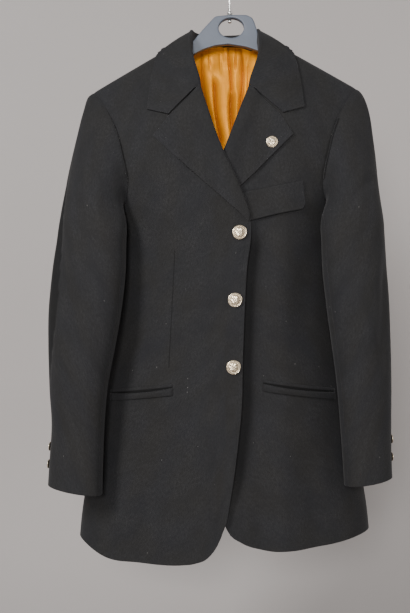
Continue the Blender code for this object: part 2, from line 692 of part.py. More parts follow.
# Collar: one row for each station from the gorge on one side to the middle of the back
COLLAR = table(
    "fold_x fold_y fold_z edge_x edge_z back",
    (0.0452, -0.0705, -0.2165, 0.0878, -0.2600, 0),
    (0.0465, -0.0675, -0.2000, 0.1225, -0.2487, 0),
    (0.0500, -0.0570, -0.1740, 0.1195, -0.2160, 0),
    (0.0540, -0.0420, -0.1480, 0.1155, -0.1830, 0),
    (0.0572, -0.0220, -0.1230, 0.1110, -0.1580, 0),
    (0.0572, 0.0020, -0.1065, 0.1070, -0.1475, 0),
    (0.0530, 0.0260, -0.1020, 0.0990, -0.1530, 1),
    (0.0430, 0.0430, -0.1005, 0.0810, -0.1600, 1),
    (0.0240, 0.0540, -0.0995, 0.0470, -0.1640, 1),
    (0.0000, 0.0570, -0.0990, 0.0000, -0.1650, 1),
)
COLLAR_STEPS = (9.0, 8.2, 7.4, 6.7, 6.1, 5.6, 5.1, 4.5, 3.8, 3.0, 2.1, 1.5, 1.0, 0.66, 0.33, 0.0)
COLLAR_CROSS_STEPS = 7
COLLAR_LIFT = 0.0008
COLLAR_BULGE = 0.0030
STAND_GAP = 0.0006
STAND_PLACES = (-0.0570, -0.0530, -0.0450, -0.0320, -0.0160, 0.0, 0.0160, 0.0320, 0.0450, 0.0530, 0.0570)


def collar_stations(steps):
    """Folds and outer edges of the collar at stations, 0 at the gorge and 9 behind the neck."""
    rows = {"step": np.arange(len(COLLAR["fold_x"]))}
    for axis, name in enumerate(("fold_x", "fold_y", "fold_z")):
        rows["fold", axis] = COLLAR[name]
    on_back = COLLAR["back"] > 0.5
    lift = np.full(len(on_back), COLLAR_LIFT)
    front_edge, _ = laid_on(COLLAR["edge_x"], COLLAR["edge_z"], lift)
    back_edge, _ = laid_on(COLLAR["edge_x"], COLLAR["edge_z"], lift, False, BACK)
    edge = np.where(on_back[:, None], back_edge, front_edge)
    for axis in range(3):
        rows["edge", axis] = edge[:, axis]
    later = {key: column[1:] for key, column in rows.items()}
    halves = []
    for part in ("fold", "edge"):
        smooth = [along(later, "step", (part, axis), steps) for axis in range(3)]
        straight = [np.interp(steps, rows["step"], rows[part, axis]) for axis in range(3)]
        halves.append(np.where(np.asarray(steps)[:, None] < 1, np.transpose(straight), np.transpose(smooth)))
    fold, edge = halves
    return fold, edge


def make_collar(wool, under):
    """The collar falls from its fold round the neck on to the shoulders and the back."""
    last = len(COLLAR["fold_x"]) - 1
    half = last - np.array(COLLAR_STEPS)
    steps = np.concatenate([-half[::-1], half[1:]])
    across = np.linspace(0, 1, COLLAR_CROSS_STEPS)[:, None]
    grid = []
    for step, fold, edge in zip(steps, *collar_stations(last - np.abs(steps))):
        line = fold + (edge - fold) * across
        direction = np.array([0.4, -1.0 if edge[1] < 0 else 1.0, 0.5])
        line = line + COLLAR_BULGE * np.sin(math.pi * across) * direction / np.linalg.norm(direction)
        line[:, 0] *= np.sign(step) if step else 1.0
        grid.append(line)
    near = lay_clear(np.array(grid), under, COLLAR_LIFT)
    out = np.cross(np.gradient(near, axis=0), np.gradient(near, axis=1))
    out /= np.linalg.norm(out, axis=-1, keepdims=True)
    out *= np.sign(out[len(steps) // 2, 3, 1])
    wall("collar", near + out * CLOTH, out, CLOTH, wool)


def make_collar_stand(wool):
    """The band inside the back neck that carries the collar's fold."""
    x = np.array(STAND_PLACES)
    bottom_z = neckline_height(x) + STAND_GAP
    bottom = body_at(BACK, x, bottom_z)
    last = len(COLLAR["fold_x"]) - 1
    folds, _ = collar_stations(np.linspace(5.0, last, 60))
    top = np.column_stack([x, np.interp(np.abs(x), folds[::-1, 0], folds[::-1, 1]), x * 0])
    top[:, 2] = np.interp(np.abs(x), folds[::-1, 0], folds[::-1, 2]) - CLOTH - 2 * STAND_GAP
    top[:, 1] -= 2 * CLOTH
    across = np.linspace(0, 1, 4)[None, :, None]
    grid = bottom[:, None] + (top - bottom)[:, None] * across
    wall("collar_stand", grid, outward(grid, BACK), CLOTH, wool)


def strip_on_front(name, fronts, start, end, width, material, slant=(0.0, 0.0), corner=0.0):
    """A strip laid on a front, from start to end along its upper edge and width deep.

    The lower corner at its end may be rounded by a quarter circle."""
    start, end = np.array(start), np.array(end)
    run = np.linspace(0, 1, STRIP_STEPS)
    turn_at = 1.0 - corner / np.linalg.norm(end - start)
    if corner:
        bow = turn_at + (1.0 - turn_at) * np.sin(np.radians((0.0, 30.0, 55.0, 75.0, 88.0)))
        run = np.concatenate([np.linspace(0, turn_at, STRIP_STEPS - 3)[:-1], bow])
    past = np.maximum(run - turn_at, 0.0) * np.linalg.norm(end - start)
    width = width - (corner - np.sqrt(np.maximum(corner**2 - past**2, 0.0)))[:, None]
    run = run[:, None, None]
    deep = np.linspace(0, 1, 4)[None, :, None]
    plan = start + (end - start) * run
    lean = slant[0] + (slant[1] - slant[0]) * run[..., 0]
    x = plan[..., 0] + lean * deep[..., 0]
    z = plan[..., 1] - width * deep[..., 0]
    side = RIGHT if end[0] > 0 else LEFT
    grid, _ = laid_on(x, z, np.full(x.shape, TRIM_LIFT), side == RIGHT)
    return laid_wall(name, grid, fronts[side], TRIM_LIFT, FRONT, TRIM_CLOTH, material)


FLAP = {
    "start": (0.0170, -0.3815),
    "end": (0.1190, -0.3622),
    "width": 0.0440,
    "slant": (0.0190, 0.0030),
    "corner": 0.0090,
}
HIP_POCKETS = {
    "right": {"start": (-0.0797, -0.6765), "end": (-0.1880, -0.6895)},
    "left": {"start": (0.0548, -0.6720), "end": (0.1800, -0.6925)},
}
UPPER_JET = 0.0050
POCKET_MOUTH = 0.0040
LOWER_JET = 0.0095
TRIM_LIFT = 0.0006
TRIM_CLOTH = 0.0018
STRIP_STEPS = 12


def make_pockets(wool, fronts):
    """The breast flap, and the two folded edges of each slanting hip pocket."""
    start, end = FLAP["start"], FLAP["end"]
    strip_on_front("breast_flap", fronts, start, end, FLAP["width"], wool, FLAP["slant"], FLAP["corner"])
    for word, pocket in HIP_POCKETS.items():
        start, end = np.array(pocket["start"]), np.array(pocket["end"])
        lower = (0.0, UPPER_JET + POCKET_MOUTH)
        strip_on_front(f"hip_jet_upper_{word}", fronts, start, end, UPPER_JET, wool)
        strip_on_front(f"hip_jet_lower_{word}", fronts, start - lower, end - lower, LOWER_JET, wool)


FRONT_BUTTONS = ((0.0206, -0.4438), (0.0138, -0.5476), (0.0115, -0.6514))
LAPEL_STUD = (0.0717, -0.3043)
FRONT_BUTTON = {"radius": 0.01130, "shank": 0.0030, "base": 0.0012, "rim": 0.0034, "crown": 0.0050}
STUD = {"radius": 0.0090, "shank": 0.0022, "base": 0.0008, "rim": 0.0022, "crown": 0.0036}
CUFF_BUTTON = {"radius": 0.0072, "shank": 0.0022, "base": 0.0008, "rim": 0.0024, "crown": 0.0036}
BUTTON_SIDES = 14
CUFF_BUTTON_HEIGHTS = {LEFT: (-0.7760, -0.8040), RIGHT: (-0.7720, -0.8000)}
CUFF_BUTTON_TURN = 0.055
BUTTON_SEAT = 0.0004


def make_button(name, place, normal, size, material):
    """A domed button with a raised rim, turned about the normal of what it is sewn on."""
    radius = size["radius"]
    profile = (
        (size["shank"], 0.0),
        (size["shank"], size["base"]),
        (radius * 0.92, size["base"]),
        (radius, (size["base"] + size["rim"]) / 2),
        (radius * 0.96, size["rim"]),
        (radius * 0.86, size["rim"]),
        (radius * 0.78, size["rim"] - 0.0004),
        (radius * 0.45, size["crown"] - 0.0004),
    )
    normal = normal / np.linalg.norm(normal)
    first = np.cross(normal, (0.0, 0.0, 1.0))
    first /= np.linalg.norm(first)
    second = np.cross(normal, first)
    turns = np.linspace(0, 2 * math.pi, BUTTON_SIDES, endpoint=False)
    spokes = np.cos(turns)[:, None] * first + np.sin(turns)[:, None] * second
    seat = place + normal * BUTTON_SEAT
    points = [seat]
    for reach, height in profile:
        points += list(seat + spokes * reach + normal * height)
    points.append(seat + normal * size["crown"])
    faces = []
    for k in range(BUTTON_SIDES):
        after = (k + 1) % BUTTON_SIDES
        faces.append((0, 1 + after, 1 + k))
        for ring in range(len(profile) - 1):
            low, high = 1 + ring * BUTTON_SIDES, 1 + (ring + 1) * BUTTON_SIDES
            faces.append((low + k, low + after, high + after, high + k))
        top = 1 + (len(profile) - 1) * BUTTON_SIDES
        faces.append((top + k, top + after, len(points) - 1))
    return make_object(name, points, faces, material)


def make_buttons(metal):
    """Three front buttons, the lapel stud and two buttons on the outer edge of each cuff."""
    for number, (x, z) in enumerate(FRONT_BUTTONS, start=1):
        place, normal = laid_on(np.array([x]), np.array([z]), [0.0])
        make_button(f"front_button_{number}", place[0], normal[0], FRONT_BUTTON, metal)
    x, z = LAPEL_STUD
    place, normal = laid_on(np.array([x]), np.array([z]), [CLOTH + LAPEL_LIFT + LAPEL_ROLL * 0.25], True)
    make_button("lapel_stud", place[0], normal[0], STUD, metal)
    for side, word in ((LEFT, "right"), (RIGHT, "left")):
        turns = np.array([CUFF_BUTTON_TURN])
        grid, normals = sleeve_points(side, turns)
        for number, height in enumerate(CUFF_BUTTON_HEIGHTS[side], start=1):
            order = np.argsort(grid[:, 0, 2])
            place = [np.interp(height, grid[order, 0, 2], grid[order, 0, axis]) for axis in range(3)]
            normal = [np.interp(height, grid[order, 0, 2], normals[order, 0, axis]) for axis in range(3)]
            make_button(f"cuff_button_{word}_{number}", np.array(place), np.array(normal), CUFF_BUTTON, metal)


# Back lining, where it shows behind the open neck, with soft upright pleats
LINING_HALF = 0.086
LINING_TOP = -0.1215
LINING_TOP_FALL = 0.040
LINING_BOTTOM = -0.400
LINING_SEAT = 0.0004
LINING_COLUMNS = 37
LINING_ROWS = (0.0, 0.08, 0.20, 0.38, 0.58, 0.80, 1.0)
PLEATS = table(
    "top_x bottom_x width depth",
    (-0.0700, -0.0640, 0.0070, 0.0045),
    (-0.0440, -0.0330, 0.0060, 0.0070),
    (-0.0240, -0.0180, 0.0050, 0.0050),
    (-0.0040, -0.0050, 0.0055, 0.0085),
    (0.0100, 0.0080, 0.0040, 0.0050),
    (0.0260, 0.0180, 0.0060, 0.0075),
    (0.0440, 0.0360, 0.0055, 0.0050),
    (0.0680, 0.0640, 0.0070, 0.0055),
)


def make_lining(satin, inside):
    """The lining of the upper back, hung close inside it."""
    x = np.linspace(-LINING_HALF, LINING_HALF, LINING_COLUMNS)[None, :]
    down = np.array(LINING_ROWS)[:, None]
    top = LINING_TOP - LINING_TOP_FALL * (x / LINING_HALF) ** 2
    z = top + (LINING_BOTTOM - top) * down
    x = np.broadcast_to(x, z.shape)
    inward = np.zeros(z.shape)
    for i in range(len(PLEATS["depth"])):
        pleat = {name: column[i] for name, column in PLEATS.items()}
        middle = pleat["top_x"] + (pleat["bottom_x"] - pleat["top_x"]) * down
        inward += pleat["depth"] * ease(down, 0.0, 0.5) * np.exp(-(((x - middle) / pleat["width"]) ** 2))
    near, _ = laid_on(x, z, np.full(z.shape, -CLOTH - LINING_SEAT), False, BACK)
    near[..., 1] -= inward
    laid_wall("lining_back", near, inside, LINING_SEAT, FRONT, LINING_CLOTH, satin)


# Hanger: a moulded bar, one row for each section across, with an arched plate in the middle
HANGER = table(
    "x top bottom half_thickness",
    (-0.1910, -0.1985, -0.2030, 0.0040),
    (-0.1850, -0.1947, -0.2110, 0.0080),
    (-0.1600, -0.1799, -0.2040, 0.0115),
    (-0.1200, -0.1572, -0.1860, 0.0120),
    (-0.0850, -0.1425, -0.1680, 0.0095),
    (-0.0544, -0.1300, -0.1496, 0.0065),
    (-0.0350, -0.1070, -0.1400, 0.0060),
    (-0.0160, -0.0870, -0.1345, 0.0060),
    (0.0057, -0.0850, -0.1325, 0.0060),
    (0.0350, -0.0853, -0.1375, 0.0060),
    (0.0453, -0.0905, -0.1412, 0.0060),
    (0.0510, -0.1060, -0.1430, 0.0060),
    (0.0571, -0.1295, -0.1455, 0.0065),
    (0.0850, -0.1425, -0.1680, 0.0095),
    (0.1200, -0.1572, -0.1860, 0.0120),
    (0.1600, -0.1799, -0.2040, 0.0115),
    (0.1850, -0.1947, -0.2110, 0.0080),
    (0.1910, -0.1985, -0.2030, 0.0040),
)
HANGER_SIDES = 10
PLATE_HALF = 0.058
PLATE_HOLE = {"x": 0.0103, "height": -0.1060, "half_width": 0.0205, "half_height": 0.0160}
HOLE_SIDES = 32
SHANK_X = 0.0080
SHANK_BOTTOM = -0.0853
HOOK_INSIDE = 0.0200
HOOK_WIRE = 0.0019
HOOK_SIDES = 8


def hanger_middle(x):
    """Sections where the hanger's outline is curved need a few more places between rows."""
    return np.unique(np.concatenate([x, (x[1:] + x[:-1]) / 2]))


def make_hanger(plastic):
    """The hanger's bar and plate, with the round hole cut through the plate."""
    x = hanger_middle(HANGER["x"])
    top, bottom, half = (np.interp(x, HANGER["x"], HANGER[c]) for c in ("top", "bottom", "half_thickness"))
    turns = np.linspace(0, 2 * math.pi, HANGER_SIDES, endpoint=False)
    points = []
    for i in range(len(x)):
        power = 0.6 if abs(x[i]) < PLATE_HALF else 1.0
        across = np.sign(np.cos(turns)) * np.abs(np.cos(turns)) ** power
        upward = np.sign(np.sin(turns)) * np.abs(np.sin(turns)) ** power
        middle, high = (top[i] + bottom[i]) / 2, (top[i] - bottom[i]) / 2
        ring = np.column_stack([np.full(HANGER_SIDES, x[i]), half[i] * across, middle + high * upward])
        points.append(ring)
    faces = []
    for i in range(len(x) - 1):
        for k in range(HANGER_SIDES):
            after = (k + 1) % HANGER_SIDES
            low, high = i * HANGER_SIDES, (i + 1) * HANGER_SIDES
            faces.append((low + k, low + after, high + after, high + k))
    faces.append(tuple(range(HANGER_SIDES)))
    faces.append(tuple(reversed(range((len(x) - 1) * HANGER_SIDES, len(x) * HANGER_SIDES))))
    hanger = make_object("hanger", np.concatenate(points), faces, plastic)
    turns = np.linspace(0, 2 * math.pi, HOLE_SIDES, endpoint=False)
    rim_x = PLATE_HOLE["x"] + PLATE_HOLE["half_width"] * np.cos(turns)
    rim_z = PLATE_HOLE["height"] + PLATE_HOLE["half_height"] * np.sin(turns)
    near = np.column_stack([rim_x, np.full(HOLE_SIDES, -0.02), rim_z])
    far = near + (0.0, 0.04, 0.0)
    faces = []
    for k in range(HOLE_SIDES):
        after = (k + 1) % HOLE_SIDES
        faces.append((k, after, HOLE_SIDES + after, HOLE_SIDES + k))
    faces += [tuple(reversed(range(HOLE_SIDES))), tuple(range(HOLE_SIDES, 2 * HOLE_SIDES))]
    cutter = make_object("hole_cutter", np.concatenate([near, far]), faces, plastic)
    cutter.hide_render = True
    cutter.display_type = "WIRE"
    cut = hanger.modifiers.new("hole", "BOOLEAN")
    cut.operation = "DIFFERENCE"
    cut.object = cutter


def make_hook(metal):
    """The wire hook: a straight shank, a short bend, and most of a circle over the rod."""
    radius = HOOK_INSIDE + HOOK_WIRE
    shank = [(SHANK_X, 0.0, SHANK_BOTTOM), (SHANK_X, 0.0, -0.066), (SHANK_X + 0.0006, 0.0, -0.054)]
    angles = np.radians(np.linspace(-48, 205, 22))
    arc = [(radius * math.cos(a), 0.0, -HOOK_INSIDE + radius * math.sin(a)) for a in angles]
    path = np.array(shank + [(0.0118, 0.0, -0.0435)] + arc)
    tangents = np.gradient(path, axis=0)
    tangents /= np.linalg.norm(tangents, axis=1, keepdims=True)
    turns = np.linspace(0, 2 * math.pi, HOOK_SIDES, endpoint=False)
    points = []
    for place, tangent in zip(path, tangents):
        beside = np.cross(tangent, (0.0, 1.0, 0.0))
        ring = np.cos(turns)[:, None] * beside + np.sin(turns)[:, None] * np.array([0.0, 1.0, 0.0])
        points.append(place + HOOK_WIRE * ring)
    faces = []
    for i in range(len(path) - 1):
        for k in range(HOOK_SIDES):
            after = (k + 1) % HOOK_SIDES
            low, high = i * HOOK_SIDES, (i + 1) * HOOK_SIDES
            faces.append((low + k, low + after, high + after, high + k))
    faces.append(tuple(range(HOOK_SIDES)))
    faces.append(tuple(reversed(range((len(path) - 1) * HOOK_SIDES, len(path) * HOOK_SIDES))))
    make_object("hook", np.concatenate(points), faces, metal)


def main():
    """Clears the scene and makes every piece."""
    for item in list(bpy.data.objects):
        bpy.data.objects.remove(item, do_unlink=True)
    wool = make_material("dark_wool", (0.011, 0.011, 0.013), 0.92)
    satin = make_material("gold_satin", (0.72, 0.33, 0.05), 0.38)
    metal = make_material("pale_metal", (0.66, 0.62, 0.55), 0.30, 1.0)
    plastic = make_material("blue_grey_plastic", (0.22, 0.24, 0.28), 0.42)
    steel = make_material("steel_wire", (0.62, 0.62, 0.60), 0.28, 1.0)
    fronts = make_fronts(wool)
    outside, inside = make_backs(wool)
    make_sleeves(wool)
    make_lapels(wool, fronts)
    make_collar(wool, joined(fronts, outside))
    make_collar_stand(wool)
    make_pockets(wool, fronts)
    make_buttons(metal)
    make_lining(satin, joined(inside))
    make_hanger(plastic)
    make_hook(steel)


main()
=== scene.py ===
"""A long three-button suit jacket of dark wool, buttoned, on a moulded hanger.

Every piece of cloth is a surface worked out as a grid of points, given a thickness and a
rounded rim. Metres, +Z up, the front faces -Y and the wearer's right is -X. The origin is
the inside top of the hanger's hook. LEFT and RIGHT are the sides as seen from the front.
"""

import math

import bpy
import numpy as np
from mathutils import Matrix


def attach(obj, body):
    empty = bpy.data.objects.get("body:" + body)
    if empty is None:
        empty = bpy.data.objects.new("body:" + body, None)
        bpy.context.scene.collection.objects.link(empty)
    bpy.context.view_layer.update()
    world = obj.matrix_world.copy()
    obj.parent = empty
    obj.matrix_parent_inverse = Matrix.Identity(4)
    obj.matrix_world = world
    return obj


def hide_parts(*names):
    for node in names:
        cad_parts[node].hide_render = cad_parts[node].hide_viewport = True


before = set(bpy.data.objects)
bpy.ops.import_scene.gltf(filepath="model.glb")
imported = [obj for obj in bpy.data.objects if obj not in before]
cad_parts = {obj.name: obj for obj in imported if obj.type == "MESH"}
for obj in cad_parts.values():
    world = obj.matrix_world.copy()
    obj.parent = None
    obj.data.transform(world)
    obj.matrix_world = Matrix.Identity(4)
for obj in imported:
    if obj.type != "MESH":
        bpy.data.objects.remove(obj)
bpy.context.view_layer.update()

bl_info = {
    "name": "Suit Jacket On Hanger",
    "version": (1, 0, 0),
    "blender": (4, 5, 0),
    "location": "3D View > Sidebar > Jacket",
    "description": "Makes a buttoned wool suit jacket that hangs on a moulded hanger",
    "category": "Add Mesh",
}

LEFT, RIGHT = -1, 1
FRONT, BACK = -1, 1
HANG_TILT = 0.015
LINING_INSET = 0.028

# Shoulder ridge: the line from the side of the neck down to the sleeve head
NECK_X, NECK_Z = 0.062, -0.121
SHOULDER_X, SHOULDER_Z = 0.2143, -0.2073
RIDGE_ROUND = 0.012
FRONT_FILL, BACK_FILL = 0.16, 0.075
BACK_NECK_Z = -0.119

# How far the under front lies behind the front that is buttoned over it
LAP_DEPTH = 0.0085
LAP_INNER_X, LAP_OUTER_X = 0.047, 0.1


def table(columns, *rows):
    """A short table as one array for each named column."""
    values = np.array(rows, dtype=float)
    return {name: values[:, i] for i, name in enumerate(columns.split())}


def rows_of(rows):
    """The rows of a table, each as a dictionary."""
    for i in range(len(next(iter(rows.values())))):
        yield {name: column[i] for name, column in rows.items()}


def along(rows, key, value, where):
    """A smooth curve through one column of a table, read at places along another: between
    two rows it is the cubic that has the rows' values and the slopes of their neighbours."""
    keys, values = rows[key], rows[value]
    if keys[0] > keys[-1]:
        keys, values = keys[::-1], values[::-1]
    where = np.clip(where, keys[0], keys[-1])
    steps = np.diff(keys)
    slopes = np.diff(values) / steps
    tangents = np.empty_like(values)
    tangents[0], tangents[-1] = slopes[0], slopes[-1]
    weights = steps[1:] / (steps[1:] + steps[:-1])
    tangents[1:-1] = weights * slopes[:-1] + (1.0 - weights) * slopes[1:]
    i = np.clip(np.searchsorted(keys, where) - 1, 0, len(steps) - 1)
    t = (where - keys[i]) / steps[i]
    rise = values[i + 1] - values[i]
    start = tangents[i] * steps[i]
    end = tangents[i + 1] * steps[i]
    square = t**2 * (3 * rise - 2 * start - end)
    return values[i] + t * start + square + t**3 * (start + end - 2 * rise)


def ease(value, start, end):
    """A smooth step from 0 at start to 1 at end: three t squared less two t cubed."""
    t = np.clip((value - start) / (end - start), 0.0, 1.0)
    return t * t * (3.0 - 2.0 * t)


def unit(vectors):
    """Vectors scaled to length one."""
    return vectors / np.maximum(np.linalg.norm(vectors, axis=-1, keepdims=True), 1e-12)


def ends_close(count, start, end, close=0.0012):
    """Evenly spaced places with one more just inside each end, where a cloth edge turns."""
    places = np.linspace(start, end, count)
    step = close * (end - start)
    return np.concatenate([[start, start + step], places[1:-1], [end - step, end]])


def ripple(u, v, shift):
    """Faint unevenness of hung cloth: a sum of slow sine waves in several directions."""
    total = np.zeros(np.broadcast(u, v).shape)
    for k, (across, down, strength) in enumerate(
        ((31.0, 9.0, 1.0), (-19.0, 23.0, 0.8), (53.0, -17.0, 0.45), (11.0, 41.0, 0.5), (77.0, 13.0, 0.22))
    ):
        total = total + strength * np.sin(across * u + down * v + shift * (k + 1.7))
    return total / 3.0


def surface_normals(grid, toward):
    """Unit normals of a grid, from its two directions, on the side that toward points to."""
    normals = unit(np.cross(np.gradient(grid, axis=0), np.gradient(grid, axis=1)))
    middle = normals[normals.shape[0] // 2, normals.shape[1] // 2]
    return normals if np.dot(middle, toward) > 0 else -normals


def hung(points):
    """Points moved by the jacket's slight tilt on its hanger: z rises with x."""
    points = np.array(points, dtype=float)
    points[..., 2] += HANG_TILT * points[..., 0]
    return points


def make_mesh(name, points, quads, material, uv=None, marks=None):
    """An object from arrays of points and four-cornered faces, turned so its faces point out."""
    points = hung(points.reshape(-1, 3))
    quads = np.asarray(quads, dtype=np.int64)
    a, b, c, d = (points[quads[:, k]] for k in range(4))
    volume = (np.cross(b - a, c - a) * a).sum() + (np.cross(c - a, d - a) * a).sum()
    if volume < 0:
        quads = quads[:, ::-1]
    mesh = bpy.data.meshes.new(name)
    mesh.vertices.add(len(points))
    mesh.vertices.foreach_set("co", points.astype(np.float32).ravel())
    mesh.loops.add(quads.size)
    mesh.loops.foreach_set("vertex_index", quads.astype(np.int32).ravel())
    mesh.polygons.add(len(quads))
    mesh.polygons.foreach_set("loop_start", np.arange(0, quads.size, 4, dtype=np.int32))
    mesh.polygons.foreach_set("use_smooth", np.ones(len(quads), dtype=bool))
    if uv is not None:
        layer = mesh.uv_layers.new(name="cloth")
        layer.data.foreach_set("uv", uv.reshape(-1, 2)[quads.ravel()].astype(np.float32).ravel())
    for mark, values in (marks or {}).items():
        attribute = mesh.attributes.new(mark, "FLOAT", "POINT")
        attribute.data.foreach_set("value", values.ravel().astype(np.float32))
    mesh.update(calc_edges=True)
    mesh.validate()
    mesh.materials.append(material)
    piece = bpy.data.objects.new(name, mesh)
    bpy.context.scene.collection.objects.link(piece)
    return piece


def grid_quads(rows, columns):
    """Faces of a grid of points, row by row."""
    number = np.arange(rows * columns).reshape(rows, columns)
    corners = [number[:-1, :-1], number[:-1, 1:], number[1:, 1:], number[1:, :-1]]
    return np.stack(corners, axis=-1).reshape(-1, 4)


def rim_order(rows, columns):
    """The grid's border points once round, and for each the neighbour one step further in."""
    number = np.arange(rows * columns).reshape(rows, columns)
    inner = number[np.clip(np.arange(rows), 1, rows - 2)][:, np.clip(np.arange(columns), 1, columns - 2)]
    border = [number[0, :-1], number[:-1, -1], number[-1, :0:-1], number[:0:-1, 0]]
    inward = [inner[0, :-1], inner[:-1, -1], inner[-1, :0:-1], inner[:0:-1, 0]]
    return np.concatenate(border), np.concatenate(inward)


def cloth_shell(name, outer, normals, wall, material, uv, marks=None, lining=None):
    """A piece of cloth: the outer grid, the same grid moved in by the wall along its normals,
    and a rim that is a half circle across the wall. With a lining, the inner faces more than
    the width of a hem from the finished edges take the lining's material."""
    rows, columns = outer.shape[:2]
    count = rows * columns
    border, inward = rim_order(rows, columns)
    top = outer.reshape(-1, 3).copy()
    lower = (outer - normals * wall).reshape(-1, 3)
    out = unit(top[border] - top[inward])
    middle = (top[border] + lower[border]) / 2
    top[border] -= out * wall * 0.35
    lower[border] -= out * wall * 0.35
    points = np.concatenate([top, lower, middle])
    faces = grid_quads(rows, columns)
    rim = 2 * count + np.arange(len(border))
    near, far = np.arange(len(border)), np.roll(np.arange(len(border)), -1)
    upper_rim = np.stack([border[far], border[near], rim[near], rim[far]], axis=-1)
    lower_rim = np.stack([rim[far], rim[near], border[near] + count, border[far] + count], axis=-1)
    quads = np.concatenate([faces, faces[:, ::-1] + count, upper_rim, lower_rim])
    flat = uv.reshape(-1, 2)
    full_uv = np.concatenate([flat, flat, flat[border]])
    full_marks = {}
    for mark, values in (marks or {}).items():
        values = values.ravel()
        full_marks[mark] = np.concatenate([values, values, values[border]])
    piece = make_mesh(name, points, quads, material, full_uv, full_marks)
    if lining:
        piece.data.materials.append(lining)
        inside = np.zeros(len(quads), dtype=np.int32)
        hem = full_marks["hem"][faces].min(axis=1)
        inside[len(faces) : 2 * len(faces)] = hem > LINING_INSET
        piece.data.polygons.foreach_set("material_index", inside)
    return piece


def tube(name, path, radii, sides, material):
    """A round profile carried along a path: at each point a circle square to the path, with
    its own radius, closed at both ends by rings that shrink to a point."""
    path = np.asarray(path, dtype=float)
    radii = np.broadcast_to(radii, len(path)).astype(float)
    tangents = unit(np.gradient(path, axis=0))
    path = np.concatenate([path[:1], path, path[-1:]])
    tangents = np.concatenate([tangents[:1], tangents, tangents[-1:]])
    radii = np.concatenate([[1e-5], radii, [1e-5]])
    beside = unit(np.cross(tangents, (0.0, 1.0, 0.0)))
    over = np.cross(beside, tangents)
    turns = np.linspace(0, 2 * math.pi, sides, endpoint=False)[None, :, None]
    spokes = np.cos(turns) * beside[:, None] + np.sin(turns) * over[:, None]
    rings = path[:, None] + radii[:, None, None] * spokes
    return make_mesh(name, rings, round_quads(len(path), sides), material)


def round_quads(rings, sides):
    """Faces of rings that close on themselves."""
    number = np.arange(rings * sides).reshape(rings, sides)
    after = np.roll(number, -1, axis=1)
    return np.stack([number[:-1], after[:-1], after[1:], number[1:]], axis=-1).reshape(-1, 4)


# Body

BODY = table(
    "height half_width front back side_y front_power back_power",
    (-0.08, 0.276, 0.07, 0.064, 0.0, 1.0, 0.8),
    (-0.21, 0.262, 0.076, 0.068, 0.0, 1.0, 0.75),
    (-0.3, 0.236, 0.08, 0.072, 0.006, 1.0, 0.7),
    (-0.37, 0.205, 0.082, 0.074, 0.02, 1.0, 0.65),
    (-0.42, 0.187, 0.083, 0.074, 0.03, 1.05, 0.6),
    (-0.5, 0.186, 0.081, 0.07, 0.038, 1.1, 0.6),
    (-0.57, 0.189, 0.078, 0.066, 0.042, 1.12, 0.65),
    (-0.65, 0.199, 0.076, 0.07, 0.044, 1.15, 0.7),
    (-0.73, 0.211, 0.076, 0.074, 0.042, 1.15, 0.75),
    (-0.81, 0.223, 0.076, 0.077, 0.038, 1.12, 0.8),
    (-0.89, 0.236, 0.077, 0.079, 0.034, 1.1, 0.8),
    (-0.97, 0.243, 0.077, 0.08, 0.032, 1.1, 0.8),
)
TOP_FRONT_EDGE = table(
    "x height",
    (-0.062, -0.121), (-0.056, -0.148), (-0.0458, -0.2022), (-0.029, -0.2587),
    (-0.0092, -0.3142), (0.0125, -0.3612), (0.033, -0.412), (0.0385, -0.429),
    (0.0388, -0.448), (0.0332, -0.4943), (0.029, -0.57), (0.0266, -0.64),
    (0.0246, -0.7185), (0.0185, -0.777), (0.0108, -0.8354), (0.0015, -0.8908),
)
UNDER_FRONT_EDGE = table(
    "x height",
    (0.062, -0.121), (0.056, -0.148), (0.045, -0.1995), (0.0262, -0.2487),
    (0.005, -0.3042), (-0.017, -0.359), (-0.036, -0.408), (-0.0385, -0.43),
    (-0.034, -0.5), (-0.027, -0.6), (-0.021, -0.7), (-0.015, -0.8),
    (-0.008, -0.87),
)
TOP_HEM = table(
    "x height",
    (-0.242, -0.931), (-0.1948, -0.953), (-0.125, -0.9575), (-0.07, -0.9575),
    (-0.0477, -0.954), (-0.0277, -0.9455), (-0.0123, -0.9255), (0.0015, -0.8908),
    (0.02, -0.85),
)
UNDER_HEM = table(
    "x height",
    (-0.03, -0.855), (-0.008, -0.885), (0.006, -0.912), (0.023, -0.9248),
    (0.056, -0.938), (0.1, -0.9405), (0.155, -0.937), (0.194, -0.9325),
    (0.242, -0.927),
)
BACK_HEM = table(
    "x height",
    (-0.242, -0.931), (-0.12, -0.936), (0.0, -0.934), (0.12, -0.932),
    (0.242, -0.927),
)
FRONT_ARMHOLE = table(
    "x height",
    (0.2143, -0.2073), (0.199, -0.226), (0.185, -0.248), (0.17, -0.281),
    (0.16, -0.319), (0.1535, -0.36), (0.1565, -0.383), (0.164, -0.4),
    (0.1745, -0.411), (0.1869, -0.418),
)
BACK_ARMHOLE = table(
    "x height",
    (0.2143, -0.2073), (0.203, -0.23), (0.19, -0.26), (0.18, -0.3),
    (0.175, -0.34), (0.175, -0.38), (0.179, -0.405), (0.1869, -0.418),
)
SIDE_END_HEIGHT = -0.93
SMOOTH_START, SMOOTH_END = 0.1, 0.8
EDGE_PULL = 5.0
UPPER_ROWS, LOWER_ROWS = 100, 150
FRONT_COLUMNS, BACK_COLUMNS = 76, 66

